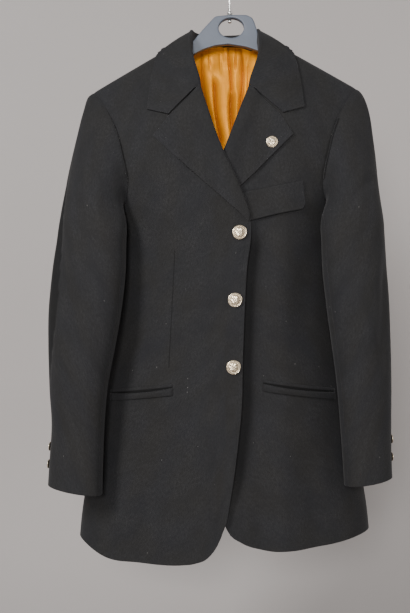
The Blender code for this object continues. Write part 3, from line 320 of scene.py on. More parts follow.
# Soft folds of the body: ridges are positive, troughs negative, and each side of a fold has
# its own width, so that one flank is steeper
BODY_FOLDS = table(
    "face top_x top bottom_x bottom inner_width outer_width depth",
    (FRONT, 0.095, -0.39, 0.07, -0.62, 0.028, 0.028, 0.004),
    (FRONT, 0.135, -0.46, 0.115, -0.66, 0.022, 0.022, -0.0045),
    (FRONT, 0.052, -0.63, 0.056, -0.96, 0.018, 0.018, -0.004),
    (FRONT, 0.125, -0.76, 0.142, -0.94, 0.022, 0.022, -0.006),
    (FRONT, 0.185, -0.72, 0.2, -0.96, 0.02, 0.02, 0.004),
    (FRONT, -0.112, -0.42, -0.125, -0.63, 0.022, 0.022, -0.0035),
    (FRONT, -0.04, -0.66, -0.048, -0.96, 0.024, 0.024, 0.003),
    (FRONT, -0.13, -0.69, -0.148, -0.96, 0.022, 0.022, -0.005),
    (BACK, -0.07, -0.42, -0.085, -0.66, 0.024, 0.024, -0.005),
    (BACK, 0.078, -0.45, 0.09, -0.7, 0.022, 0.022, -0.0045),
    (BACK, -0.135, -0.66, -0.15, -0.96, 0.024, 0.024, 0.0055),
    (BACK, 0.128, -0.69, 0.142, -0.96, 0.022, 0.022, 0.005),
    (BACK, 0.04, -0.72, 0.046, -0.96, 0.018, 0.018, -0.004),
    (BACK, -0.048, -0.76, -0.056, -0.96, 0.02, 0.02, -0.0045),
    (BACK, -0.03, -0.19, -0.13, -0.27, 0.014, 0.02, -0.0022),
    (BACK, 0.03, -0.19, 0.125, -0.28, 0.014, 0.022, -0.0022),
    (BACK, 0.145, -0.35, 0.095, -0.47, 0.01, 0.02, -0.0028),
    (BACK, -0.14, -0.35, -0.09, -0.46, 0.01, 0.02, -0.003),
)
DART_TOP, DART_END = (-0.079, -0.468), (-0.089, -0.656)
DART_DEPTH, DART_WIDTH = 0.002, 0.005
RIPPLE_DEPTH = 0.0007
SEAM_SINK, SEAM_REACH = 0.0011, 0.003

# The under front steps back below the neck and dips behind the lap: heights where each begins
# # and is full, and distances from the edge that laps over it. Beside that edge it also carries a painted
# shadow
LAP_BEGINS, LAP_FULL = -0.15, -0.26
UNDER_DIP, DIP_CLEAR, DIP_REACH = 0.007, 0.008, 0.02
DIP_BEGINS, DIP_FULL, DIP_FADES, DIP_ENDS = -0.425, -0.475, -0.83, -0.89
# Painted shadow that the lapping edge casts on the under front: how dark it is, and its distances from that
# edge
LAP_SHADE, SHADE_CLEAR, SHADE_REACH = 0.6, 0.01, 0.012
SEAM_ALLOWANCE = 0.012
# Heights where that painted shadow fades and ends
SHADE_FADES, SHADE_ENDS = -0.8, -0.9


def ridge_height(x):
    """Height of the shoulder ridge at x, carried on in a straight line over the neck."""
    slope = (SHOULDER_Z - NECK_Z) / (SHOULDER_X - NECK_X)
    return NECK_Z + slope * (np.abs(x) - NECK_X)


def fold_heights(rows, x, z):
    """Height of soft folds: bell-shaped across a line that slants down, each side with its
    own width, easing in at the top and, unless the fold runs to the hem, out at the bottom."""
    height = np.zeros(np.broadcast(x, z).shape)
    for fold in rows_of(rows):
        run = np.clip((z - fold["top"]) / (fold["bottom"] - fold["top"]), 0.0, 1.0)
        away = x - (fold["top_x"] + (fold["bottom_x"] - fold["top_x"]) * run)
        inward = away * np.sign(fold["top_x"] + 1e-9) < 0
        width = np.where(inward, fold["inner_width"], fold["outer_width"])
        fade = ease(run, 0.0, 0.35)
        if fold["bottom"] > -0.9:
            fade = fade * ease(run, 1.0, 0.65)
        height = height + fold["depth"] * fade * np.exp(-((away / width) ** 2))
    return height


def dart_place(x, z):
    """How far to the side of the dart a place lies, and how far down the dart, from 0 to 1."""
    run = np.clip((z - DART_TOP[1]) / (DART_END[1] - DART_TOP[1]), 0.0, 1.0)
    return x - (DART_TOP[0] + (DART_END[0] - DART_TOP[0]) * run), run


def body_fold(face, x, z):
    """Height of the body's folds, with the soft dart on the wearer's right front."""
    chosen = BODY_FOLDS["face"] == face
    height = fold_heights({name: column[chosen] for name, column in BODY_FOLDS.items()}, x, z)
    if face == FRONT:
        away, run = dart_place(x, z)
        fade = ease(run, 0.0, 0.3) * ease(run, 1.0, 0.9)
        height = height - DART_DEPTH * np.exp(-((away / DART_WIDTH) ** 2)) * fade
    return height + RIPPLE_DEPTH * ripple(x, z, 1.3 * face)


def beside_lap(x, z):
    """How far a place on the under front lies from the edge of the front that laps over it."""
    return x - along(TOP_FRONT_EDGE, "height", "x", z)


def body_point(face, x_side, angle, z, under=False):
    """A point of the body's outer face. Round the body the angle is 0 at the middle and a
    right angle at the side: x is the half width times its sine, y the depth times its cosine
    to a power, and both are drawn in towards the shoulder ridge."""
    word = "front" if face == FRONT else "back"
    names = ("half_width", "side_y", word, word + "_power")
    half_width, side_y, depth, power = (along(BODY, "height", name, z) for name in names)
    x = x_side * half_width * np.sin(angle)
    below = np.maximum(ridge_height(x) - z, 0.0)
    fill = FRONT_FILL if face == FRONT else BACK_FILL
    round_part = RIDGE_ROUND * np.sqrt(1.0 - (1.0 - np.minimum(below / RIDGE_ROUND, 1.0)) ** 2)
    deep_part = (depth - RIDGE_ROUND) * (1.0 - (1.0 - np.minimum(below / fill, 1.0)) ** 2)
    shape = np.maximum(np.cos(angle), 0.0) ** power
    reach = (depth + face * -side_y) * shape * (round_part + deep_part) / depth
    y = side_y + face * (reach + body_fold(face, x, z) * shape * ease(below, 0.0, 0.1))
    if under:
        y = y + LAP_DEPTH * ease(x, LAP_OUTER_X, LAP_INNER_X) * ease(z, LAP_BEGINS, LAP_FULL)
        fade = ease(z, DIP_BEGINS, DIP_FULL) * ease(z, DIP_ENDS, DIP_FADES)
        past = np.maximum(beside_lap(x, z) - DIP_CLEAR, 0.0)
        y = y + UNDER_DIP * np.exp(-((past / DIP_REACH) ** 2)) * fade
    return np.stack([x, y, z], axis=-1)


def body_at(face, x, z, under=False):
    """The point of the body's outer face at a given x and height."""
    half_width = along(BODY, "height", "half_width", z)
    angle = np.arcsin(np.clip(x / half_width, -1.0, 1.0))
    return body_point(face, 1, angle, z, under)


def laid_on(x, z, lift, under=False, face=FRONT):
    """Points on the body's outer face at x and height, moved out square to it by lift, and
    the unit normals there."""
    step = 0.0012
    here = body_at(face, x, z, under)
    across = body_at(face, x + step, z, under) - body_at(face, x - step, z, under)
    upward = body_at(face, x, z + step, under) - body_at(face, x, z - step, under)
    normals = unit(np.cross(across, upward))
    normals = normals * np.sign(normals[..., 1:2]) * face
    return here + normals * np.broadcast_to(lift, np.shape(x))[..., None], normals


def edge_share(edge, hem, side=1):
    """How far down the body each point of an edge lies, 0 at the ridge and 1 at the hem."""
    x = edge["x"] * side
    ridge = ridge_height(x)
    return (ridge - edge["height"]) / (ridge - along(hem, "x", "height", x))


def edge_x(edge, hem, share, side=1):
    """The x of an edge at given shares of the height."""
    shares = edge_share(edge, hem, side)
    return side * along({"share": shares, "x": edge["x"]}, "share", "x", share)


def neckline_height(x):
    """Height of the back neckline, lowest in the middle."""
    return BACK_NECK_Z + (NECK_Z - BACK_NECK_Z) * np.minimum(np.abs(x) / NECK_X, 1.0) ** 2.5


def neckline_share(x):
    """How far down from the ridge the back neckline lies, as a share of the body's height."""
    ridge = ridge_height(x)
    drop = np.where(np.abs(x) < NECK_X, ridge - neckline_height(x), 0.0)
    return drop / (ridge - along(BACK_HEM, "x", "height", x))


def panel(face, side, inner, armhole, hem, columns, under=False):
    """Points of a panel from the ridge down to the hem and from its inner edge across to the
    armhole and the side seam.

    A row lies at one share of the height between ridge and hem. Across it the angle round the
    body runs evenly towards a smooth side line, and the outer columns are drawn in to the
    armhole. Returns the points and the row of the underarm."""
    underarm = edge_share(armhole, hem, side)[-1]
    upper, lower = ends_close(UPPER_ROWS, 0, 1, 0.004), ends_close(LOWER_ROWS, 0, 1, 0.002)[1:]
    share = np.concatenate([upper * underarm, underarm + lower * (1.0 - underarm)])[:, None]
    across = ends_close(columns, 0.0, 1.0, 0.004)[None, :]

    def angle_of(x):
        z = ridge_height(x) * (1 - share) + along(hem, "x", "height", x) * share
        return np.arcsin(np.clip(side * x / along(BODY, "height", "half_width", z), -1.0, 1.0))

    first = angle_of(edge_x(inner, hem, share))
    last = np.minimum(angle_of(edge_x(armhole, hem, share, side)), math.pi / 2)
    last = np.where(share >= underarm - 1e-9, math.pi / 2, last)
    smooth = last[0] + (math.pi / 2 - last[0]) * ease(share, SMOOTH_START, SMOOTH_END)
    angle = first + (smooth - first) * across + (last - smooth) * across**EDGE_PULL
    z = NECK_Z + (SIDE_END_HEIGHT - NECK_Z) * share
    for _ in range(12):
        x = side * along(BODY, "height", "half_width", z) * np.sin(angle)
        lowered = share + (neckline_share(x) * (1 - share) ** 4 if face == BACK else 0.0)
        z = ridge_height(x) * (1 - lowered) + along(hem, "x", "height", x) * lowered
    return body_point(face, side, angle, z, under), len(upper) - 1


def arc_lengths(grid):
    """Two lengths over a grid in metres: along its rows and down its columns."""
    across = np.linalg.norm(np.diff(grid, axis=1), axis=-1)
    down = np.linalg.norm(np.diff(grid, axis=0), axis=-1)
    u = np.concatenate([np.zeros((grid.shape[0], 1)), np.cumsum(across, axis=1)], axis=1)
    v = np.concatenate([np.zeros((1, grid.shape[1])), np.cumsum(down, axis=0)], axis=0)
    return u, v


def cloth_uv(grid, side=1):
    """Cloth coordinates in metres: width round from the grid's middle, and length down."""
    u, v = arc_lengths(grid)
    middle = u[:, u.shape[1] // 2 : u.shape[1] // 2 + 1]
    return np.stack([(u - middle) * side, -v], axis=-1)


def seam_sink(distance):
    """How far cloth dips beside a seam: deepest at the seam, fading over a few millimetres."""
    return SEAM_SINK * np.exp(-np.abs(distance) / SEAM_REACH)


def border_distances(grid):
    """Distances in metres of each point from a grid's first row, last row, first column and
    last column, measured over the cloth."""
    u, v = arc_lengths(grid)
    return v, v[-1:] - v, u, u[:, -1:] - u


def sewn_panel(name, grid, face, underarm, finished, wool, settings):
    """One body panel: its seam edges sink, its finished edges carry a line of stitches, and
    it is lined inside. The front's dart seam carries painted shade, and the under front a painted
    shadow beside the edge that laps over it. Its wall is square to the side seam below the
    underarm's row, and to the shoulder on a front or the middle seam on a back."""
    normals = surface_normals(grid, (0, face, 0))
    top, bottom, first, last = border_distances(grid)
    distance = {"top": top, "bottom": bottom, "first": first, "last": last}
    for edge in ("top", "first", "last"):
        if edge not in finished:
            grid = grid - normals * seam_sink(distance[edge])[..., None]
    if face == FRONT:
        normals[0, :, 1] = 0.0
    else:
        normals[:, 0, 0] = 0.0
    normals[underarm:, -1, 1] = 0.0
    stitch = np.minimum.reduce([distance[edge] for edge in finished] + [top * 0 + 1.0])
    sewn = [near + SEAM_ALLOWANCE for near in (top, first, last)]
    hem = np.minimum.reduce([bottom, stitch * 0.35, *sewn])
    away, run = dart_place(grid[..., 0], grid[..., 2])
    # The dart's seam, which the wool draws as a groove with painted shade along it
    seam = np.where((run > 0) & (run < 1) & (face == FRONT), 1.0 + away, 0.0)
    marks = {"edge": stitch, "hem": hem, "seam": seam}
    # The under front is painted darker beside the edge that laps over it, as the shadow that edge casts
    if name.startswith("front_left"):
        z = grid[..., 2]
        past = np.maximum(beside_lap(grid[..., 0], z) - SHADE_CLEAR, 0.0)
        fade = ease(z, DIP_BEGINS, DIP_FULL) * ease(z, SHADE_ENDS, SHADE_FADES)
        marks["shade"] = LAP_SHADE * np.exp(-((past / SHADE_REACH) ** 2)) * fade
    satin = finish_of("gold_satin", settings)
    return cloth_shell(name, grid, unit(normals), settings.wall, wool, cloth_uv(grid), marks, satin)


def make_body(wool, settings):
    """The two fronts, of which the wearer's right one laps over, and the two backs."""
    pieces = []
    middle = {"x": np.zeros(3), "height": np.array([BACK_NECK_Z, -0.5, -0.934])}
    panels = (
        ("front_right", FRONT, LEFT, TOP_FRONT_EDGE, FRONT_ARMHOLE, TOP_HEM, FRONT_COLUMNS, ["first"]),
        ("front_left", FRONT, RIGHT, UNDER_FRONT_EDGE, FRONT_ARMHOLE, UNDER_HEM, FRONT_COLUMNS, ["first"]),
        ("back_right", BACK, LEFT, middle, BACK_ARMHOLE, BACK_HEM, BACK_COLUMNS, []),
        ("back_left", BACK, RIGHT, middle, BACK_ARMHOLE, BACK_HEM, BACK_COLUMNS, []),
    )
    for name, face, side, edge, armhole, hem, columns, finished in panels:
        under = name == "front_left"
        grid, underarm = panel(face, side, edge, armhole, hem, columns, under)
        pieces.append(sewn_panel(name + "_cloth", grid, face, underarm, finished, wool, settings))
    return pieces


# Sleeves, in rings down the arm. Turns run once round from the shoulder tip, over the front,
# under the arm and up the back

ARM = table(
    "height right_x left_x y right_long left_long half_short slant",
    (-0.44, 0.1985, -0.2085, -0.0485, 0.052, 0.0585, 0.0405, 0.0),
    (-0.5, 0.2015, -0.2131, -0.048, 0.0518, 0.0618, 0.044, 0.0),
    (-0.56, 0.207, -0.2194, -0.048, 0.0506, 0.0612, 0.043, 0.0),
    (-0.62, 0.212, -0.2255, -0.047, 0.0475, 0.056, 0.041, 0.0),
    (-0.68, 0.2165, -0.231, -0.046, 0.044, 0.0485, 0.038, 0.0),
    (-0.74, 0.2198, -0.2325, -0.0455, 0.042, 0.045, 0.035, 0.0),
    (-0.8, 0.2231, -0.2355, -0.0455, 0.0405, 0.0462, 0.0335, 0.08),
    (-0.836, 0.2255, -0.2372, -0.046, 0.0402, 0.0472, 0.033, 0.14),
)
ARM_TURN = math.radians(30)
CUFF_DROP = {LEFT: 0.0065, RIGHT: 0.0}
RING_ANGLE = table(
    "turn degrees",
    (-0.25, -57), (0.0, -5), (0.2, 85), (0.38, 178),
    (0.44, 226), (0.5, 272), (0.62, 291), (0.75, 310),
    (1.0, 355), (1.2, 445),
)
FOREARM_TURN, HINDARM_TURN = 0.385, 0.88
ARM_TOP, ARM_FIRST_STEP, ARM_END = -0.44, -0.446, -0.836
CAP_ROWS, ARM_ROWS = 56, 132
TOP_SLEEVE_STEPS, UNDER_SLEEVE_STEPS = 56, 44
ARMHOLE_GAP, ARMHOLE_TUCK = 0.0012, 0.004
UNDERARM_FLARE = 0.55
CAP_START = {LEFT: 0.54, RIGHT: 0.46}
CAP_END = 0.8

SLEEVE_CREASE = table(
    "height x",
    (-0.3, -0.2415), (-0.327, -0.246), (-0.368, -0.251), (-0.45, -0.255),
    (-0.507, -0.258), (-0.559, -0.2605), (-0.604, -0.267), (-0.64, -0.2715),
    (-0.71, -0.277), (-0.75, -0.2805),
)
CREASE_DEPTH = 0.01
CREASE_BEGINS, CREASE_FULL, CREASE_FADES, CREASE_ENDS = -0.29, -0.38, -0.6, -0.73
# Strength of the painted shade on the strip behind the sharp fold of the wearer's right sleeve
CREASE_SHADE = 0.55
UNDERARM_FILL = {LEFT: 0.0085, RIGHT: 0.01}
UNDERARM_TURN, UNDERARM_SPREAD = 0.4, 0.08
UNDERARM_HEIGHT, UNDERARM_REACH = -0.411, 0.022
SLEEVE_SIDE = table(
    "height right left",
    (-0.2138, -0.0041, -0.0032),
    (-0.2284, -0.0076, -0.0027),
    (-0.2577, -0.0086, -0.0018),
    (-0.287, -0.0068, -0.0015),
    (-0.3162, -0.0034, 0.0),
    (-0.3455, 0.0, 0.0008),
    (-0.3894, 0.0021, 0.0011),
    (-0.4333, 0.0029, 0.0025),
    (-0.5211, 0.0039, 0.0031),
    (-0.565, 0.0044, 0.0028),
    (-0.6089, 0.0034, 0.0026),
    (-0.6528, 0.0021, 0.0026),
    (-0.6967, 0.0011, 0.0026),
    (-0.726, 0.0, 0.0024),
    (-0.78, 0.0, 0.0014),
    (-0.824, 0.0, 0.0),
)
SLEEVE_FOLDS = table(
    "side top_turn top bottom_turn bottom inner_width outer_width depth",
    (LEFT, 0.09, -0.38, 0.27, -0.66, 0.035, 0.035, -0.005),
    (LEFT, 0.19, -0.33, 0.34, -0.48, 0.03, 0.03, 0.004),
    (LEFT, 0.66, -0.45, 0.6, -0.64, 0.035, 0.035, -0.005),
    (RIGHT, 0.06, -0.34, 0.33, -0.42, 0.04, 0.04, -0.0034),
    (RIGHT, 0.12, -0.45, 0.2, -0.68, 0.035, 0.035, -0.0045),
    (RIGHT, 0.3, -0.52, 0.22, -0.64, 0.03, 0.03, 0.004),
    (RIGHT, 0.66, -0.48, 0.62, -0.66, 0.035, 0.035, -0.005),
)


def armhole_loop(side, turns):
    """Points of the armhole on the body's outer face at given turns: each half of the loop is
    measured along its own length."""
    halves = []
    for face, edge in ((FRONT, FRONT_ARMHOLE), (BACK, BACK_ARMHOLE)):
        steps = {"step": np.arange(len(edge["x"])), "x": edge["x"], "height": edge["height"]}
        fine = np.linspace(0, len(edge["x"]) - 1, 160)
        x, z = along(steps, "step", "x", fine) * side, along(steps, "step", "height", fine)
        half = body_at(face, x, z, side == RIGHT and face == FRONT)
        half = half if face == FRONT else half[::-1]
        length = np.concatenate([[0.0], np.cumsum(np.linalg.norm(np.diff(half, axis=0), axis=1))])
        halves.append((length / length[-1], half))
    turns = np.mod(turns, 1.0)
    part = np.where(turns < 0.5, turns * 2, turns * 2 - 1)
    read = [
        np.stack([np.interp(part, share, half[:, k]) for k in range(3)], axis=-1)
        for share, half in halves
    ]
    return np.where((turns < 0.5)[:, None], read[0], read[1])


def arm_ring(side, turns, height):
    """Points of one ring of the arm, an oval turned so that its inner end lies forward."""
    angle = np.radians(along(RING_ANGLE, "turn", "degrees", np.mod(turns, 1.0)))
    row = {name: along(ARM, "height", name, height) for name in ARM if name != "height"}
    word = "right" if side == RIGHT else "left"
    x, half_long = row[word + "_x"], row[word + "_long"]
    inner = np.array([-side * math.cos(ARM_TURN), -math.sin(ARM_TURN)])
    rear = np.array([-side * math.sin(ARM_TURN), math.cos(ARM_TURN)])
    flat = -np.cos(angle)[:, None] * half_long * inner - np.sin(angle)[:, None] * row["half_short"] * rear
    drop = CUFF_DROP[side] * ease(height, -0.6, ARM_END)
    z = height - drop + row["slant"] * side * flat[:, 0]
    return np.column_stack([x + flat[:, 0], row["y"] + flat[:, 1], z])


def row_average(grid, reach):
    """Each row as the average of its neighbours up to reach rows away, nearer ones counting more."""
    offsets = np.arange(-reach, reach + 1)
    shares = np.exp(-((offsets / (0.5 * reach)) ** 2))
    places = np.clip(np.arange(len(grid))[:, None] + offsets, 0, len(grid) - 1)
    return (grid[places] * (shares / shares.sum())[:, None, None]).sum(axis=1)


def sleeve_grid(side, turns):
    """Sleeve points in rows from the armhole to the cuff.

    Over the sleeve head each line is a Hermite curve that leaves the armhole outwards and
    comes down into the first ring of the arm, so the head is full and rounded. The first row
    is tucked in under the edge of the armhole."""
    start = armhole_loop(side, turns)
    first, second = arm_ring(side, turns, ARM_TOP), arm_ring(side, turns, ARM_FIRST_STEP)
    centre = armhole_loop(side, np.linspace(0, 1, 40, endpoint=False)).mean(axis=0)
    radial = unit((start - centre) * (0.0, 1.0, 1.0))
    upward = np.maximum(radial[:, 2:], 0.0)
    leave = np.array([side * 0.8, 0.0, -0.5]) + 0.3 * radial * (1.0, 1.0, 0.0)
    leave[:, 2:] += 0.3 * upward + UNDERARM_FLARE * (upward - radial[:, 2:])
    leave = unit(leave)
    arrive = unit(second - first)
    reach = np.linalg.norm(first - start, axis=1, keepdims=True)
    w = (np.linspace(0, 1, CAP_ROWS, endpoint=False) ** 1.25)[:, None, None]
    cap = (2 * w**3 - 3 * w**2 + 1) * start + (w**3 - 2 * w**2 + w) * CAP_START[side] * reach * leave
    cap = cap + (3 * w**2 - 2 * w**3) * first + (w**3 - w**2) * CAP_END * reach * arrive
    cap = cap + leave * ARMHOLE_GAP
    tucked = cap[:1] - leave * ARMHOLE_TUCK - radial * ARMHOLE_GAP
    heights = ends_close(ARM_ROWS, ARM_TOP, ARM_END, 0.004)
    rings = np.array([arm_ring(side, turns, height) for height in np.delete(heights, 1)])
    grid = np.concatenate([tucked, cap, rings])
    joint = np.exp(-(((np.arange(len(grid)) - CAP_ROWS) / 12.0) ** 2))[:, None, None]
    return grid + (row_average(grid, 7) - grid) * joint


def sleeve_normals(side, turns):
    """Outward unit normals of the sleeve, from neighbouring turns and rows."""
    step = 0.004
    ahead, behind = sleeve_grid(side, turns + step), sleeve_grid(side, turns - step)
    down = np.gradient(sleeve_grid(side, turns), axis=0)
    return unit(np.cross(ahead - behind, down) * side)


def sleeve_points(side, turns):
    """Sleeve points with the soft folds added along the normals, the normals, and how dark
    the strip behind the sharp fold is painted as shade. A soft fold is bell-shaped across a line
    that slants round the arm as it runs down. The underarm is filled towards the body, and the
    wearer's right sleeve is folded sharply along its outer side: the cloth steps back there and
    comes forward again to the outline."""
    grid, normals = sleeve_grid(side, turns), sleeve_normals(side, turns)
    lift = RIPPLE_DEPTH * ripple(turns[None, :] * 0.5, grid[..., 2], 2.1 * side)
    for fold in rows_of(SLEEVE_FOLDS):
        if fold["side"] != side:
            continue
        run = np.clip((grid[..., 2] - fold["top"]) / (fold["bottom"] - fold["top"]), 0.0, 1.0)
        middle = fold["top_turn"] + (fold["bottom_turn"] - fold["top_turn"]) * run
        fade = ease(run, 0.0, 0.35) * ease(run, 1.0, 0.65)
        away = np.mod(turns[None, :] - middle + 0.5, 1.0) - 0.5
        width = np.where(away < 0, fold["inner_width"], fold["outer_width"])
        lift = lift + fold["depth"] * fade * np.exp(-((away / width) ** 2))
    grid = grid + normals * lift[..., None]
    row = np.arange(len(grid))[:, None]
    away = (np.mod(turns, 1.0)[None, :] - UNDERARM_TURN) / UNDERARM_SPREAD
    beside = np.exp(-(away**2)) * ease(row, 2, 14)
    level = np.exp(-(((grid[..., 2] - UNDERARM_HEIGHT) / UNDERARM_REACH) ** 2))
    grid[..., 0] -= side * UNDERARM_FILL[side] * beside * level
    whole = sleeve_grid(side, np.linspace(0, 1, 80, endpoint=False))[..., 0] * side
    inner, outer = whole.min(axis=1)[:, None], whole.max(axis=1)[:, None]
    push = along(SLEEVE_SIDE, "height", "right" if side == LEFT else "left", grid[..., 2])
    outward = np.clip((grid[..., 0] * side * 2 - inner - outer) / (outer - inner), 0.0, 1.0)
    grid[..., 0] += side * push * outward**1.5
    if side == RIGHT:
        return grid, normals, np.zeros(push.shape)
    crease = -along(SLEEVE_CREASE, "height", "x", grid[..., 2])
    room = outer + push - crease
    share = np.clip((-grid[..., 0] - crease) / np.maximum(room, 0.0008), 0.0, 1.0)
    z = grid[..., 2]
    fade = ease(z, CREASE_BEGINS, CREASE_FULL) * ease(z, CREASE_ENDS, CREASE_FADES)
    fade = fade * ease(-normals[..., 1], -0.05, 0.15) * ease(room, 0.0008, 0.005)
    grid[..., 1] += CREASE_DEPTH * ease(share, 0.0, 0.14) * (1.0 - share) ** 0.9 * fade
    # The strip behind the sharp fold is painted darker, as shade
    return grid, normals, CREASE_SHADE * ease(share, 0.0, 0.12) * fade


def make_sleeves(wool, settings):
    """Each sleeve in two pieces, with a sunk seam along the forearm and the hindarm."""
    pieces = []
    satin = finish_of("gold_satin", settings)
    for side, word in ((LEFT, "right"), (RIGHT, "left")):
        top_turns = ends_close(TOP_SLEEVE_STEPS, HINDARM_TURN - 1.0, FOREARM_TURN, 0.004)
        under_turns = ends_close(UNDER_SLEEVE_STEPS, FOREARM_TURN, HINDARM_TURN, 0.004)
        for kind, turns in (("top", top_turns), ("under", under_turns)):
            grid, normals, shade = sleeve_points(side, turns)
            top, bottom, first, last = border_distances(grid)
            dip = seam_sink(first) + seam_sink(last) + 0.6 * seam_sink(top)
            grid = grid - normals * dip[..., None]
            name = f"sleeve_{kind}_{word}_cloth"
            hem = np.minimum(bottom, top + 0.004)
            marks = {"edge": np.full(top.shape, 1.0), "hem": hem, "shade": shade}
            uv = cloth_uv(grid)
            pieces.append(cloth_shell(name, grid, normals, settings.wall, wool, uv, marks, satin))
    return pieces


# Lapels and collar

LAPELS = {
    LEFT: {"gorge": (-0.0462, -0.2171), "notch": (-0.0902, -0.2612), "tip": (-0.1122, -0.2914)},
    RIGHT: {"gorge": (0.044, -0.2166), "notch": (0.0859, -0.2606), "tip": (0.1037, -0.2925)},
}
LAPEL_END = {LEFT: (0.0345, -0.42), RIGHT: (-0.03, -0.414)}
LAPEL_NOTCH_SHARE = 0.64
LAPEL_LIFT, LAPEL_EDGE_LIFT = 0.0008, 0.0014
LAPEL_ROLL_AT, LAPEL_ROLL_WIDTH = 0.008, 0.014
LAPEL_WALL = 0.0026
ROLL_STEPS, LAPEL_STEPS, LAPEL_ROWS = 9, 46, 96


def lapel_lift(out, width, settings):
    """Height of a lapel over its front, by distance from the roll line: fullest just beside
    the roll, and a little proud at the outer edge."""
    narrow = np.clip(width / 0.03, 0.15, 1.0)
    beside_roll = np.exp(-(((out - LAPEL_ROLL_AT) / LAPEL_ROLL_WIDTH) ** 2))
    lift = LAPEL_LIFT + LAPEL_WALL + settings.lapel_roll * narrow * beside_roll
    return lift + LAPEL_EDGE_LIFT * np.exp(-((out - width) ** 2) / 0.012**2) * narrow


def make_lapels(wool, settings):
    """Each lapel is one cloth that starts behind the front's edge, goes round the roll line in
    a half circle and lies folded back on the front, fullest just beside the roll line."""
    pieces = []
    for side, word in ((LEFT, "right"), (RIGHT, "left")):
        marks = {name: np.array(place) for name, place in LAPELS[side].items()}
        edge = TOP_FRONT_EDGE if side == LEFT else UNDER_FRONT_EDGE
        end = np.array(LAPEL_END[side])
        down = ends_close(LAPEL_ROWS, 0, 1, 0.005)
        heights = marks["gorge"][1] + (end[1] - marks["gorge"][1]) * down
        roll = np.column_stack([along(edge, "height", "x", heights), heights])
        outer = marks["tip"] + (end + (0.0, -0.007) - marks["tip"]) * down[:, None]
        bow = np.sin(math.pi * down)[:, None] * np.array([side * 0.0022, -0.0012])
        outer = outer + bow * (1 - down[:, None])
        share = ends_close(LAPEL_STEPS, 0, 1, 0.012)
        plan = roll[:, None] + (outer - roll)[:, None] * share[None, :, None]
        chord = marks["gorge"] + (marks["tip"] - marks["gorge"]) * LAPEL_NOTCH_SHARE
        before = share < LAPEL_NOTCH_SHARE
        hump = np.where(before, share / LAPEL_NOTCH_SHARE, (1 - share) / (1 - LAPEL_NOTCH_SHARE))
        near_top = (1 - ease(down, 0.0, 0.12))[:, None, None]
        plan = plan + (marks["notch"] - chord) * hump[None, :, None] * near_top
        out = np.linalg.norm(plan - roll[:, None], axis=-1)
        lift = lapel_lift(out, out[:, -1:], settings)
        under = side == RIGHT
        over, normals = laid_on(plan[..., 0], plan[..., 1], lift, under)
        # The half circle of the roll, square to the roll line and to the front
        top, normal = over[:, 0], normals[:, 0]
        toward = over[:, 1] - over[:, 0]
        toward = unit(toward - normal * (toward * normal).sum(axis=-1, keepdims=True))
        radius = ((lift[:, 0] + settings.wall) / 2 + 0.0004)[:, None]
        turns = np.linspace(math.pi, 0, ROLL_STEPS, endpoint=False)
        arc = [
            top - normal * radius * (1 - math.cos(turn)) - toward * radius * math.sin(turn)
            for turn in turns
        ]
        tail = top - normal * 2 * radius + toward * 0.012
        grid = np.concatenate([tail[:, None], np.stack(arc, axis=1), over], axis=1)
        facing = surface_normals(grid, (0, -1, 0))
        first, _, _, last = border_distances(grid)
        sewn = 1.0 - ease(share, LAPEL_NOTCH_SHARE - 0.03, LAPEL_NOTCH_SHARE)
        sewn = np.concatenate([np.zeros(grid.shape[1] - len(share)), 0.4 * sewn * ease(share, 0.0, 0.2)])
        grid = grid - facing * (seam_sink(first) * sewn)[..., None]
        free = np.concatenate([np.zeros(grid.shape[1] - len(share)), share]) > LAPEL_NOTCH_SHARE
        marks = {"edge": np.minimum(last, np.where(free, first, 1.0))}
        name = f"lapel_{word}_cloth"
        pieces.append(cloth_shell(name, grid, facing, LAPEL_WALL, wool, cloth_uv(grid), marks))
    return pieces


# One row for each station of the collar, from the gorge to the middle of the back
COLLAR = table(
    "fold_x fold_y fold_z edge_x edge_z back stand",
    (0.0452, -0.0705, -0.2165, 0.0878, -0.26, 0, 0.008),
    (0.0465, -0.0675, -0.2, 0.1225, -0.2487, 0, 0.012),
    (0.0524, -0.057, -0.174, 0.1195, -0.216, 0, 0.018),
    (0.058, -0.042, -0.148, 0.1155, -0.183, 0, 0.022),
    (0.0588, -0.022, -0.125, 0.111, -0.162, 0, 0.021),
    (0.0572, 0.002, -0.109, 0.107, -0.1535, 0, 0.018),
    (0.053, 0.026, -0.1055, 0.099, -0.1575, 1, 0.015),
    (0.043, 0.043, -0.1045, 0.081, -0.162, 1, 0.014),
    (0.024, 0.054, -0.104, 0.047, -0.165, 1, 0.0145),
    (0.0, 0.057, -0.1038, 0.0, -0.165, 1, 0.0152),
)
COLLAR_LIFT, COLLAR_BULGE, COLLAR_WALL = 0.0012, 0.003, 0.0026
COLLAR_MEETS = {LEFT: 0.0034, RIGHT: 0.0064}
FOLD_RADIUS = 0.0026
STAND_STEPS, FOLD_STEPS, FALL_STEPS, COLLAR_STATIONS = 8, 9, 40, 71


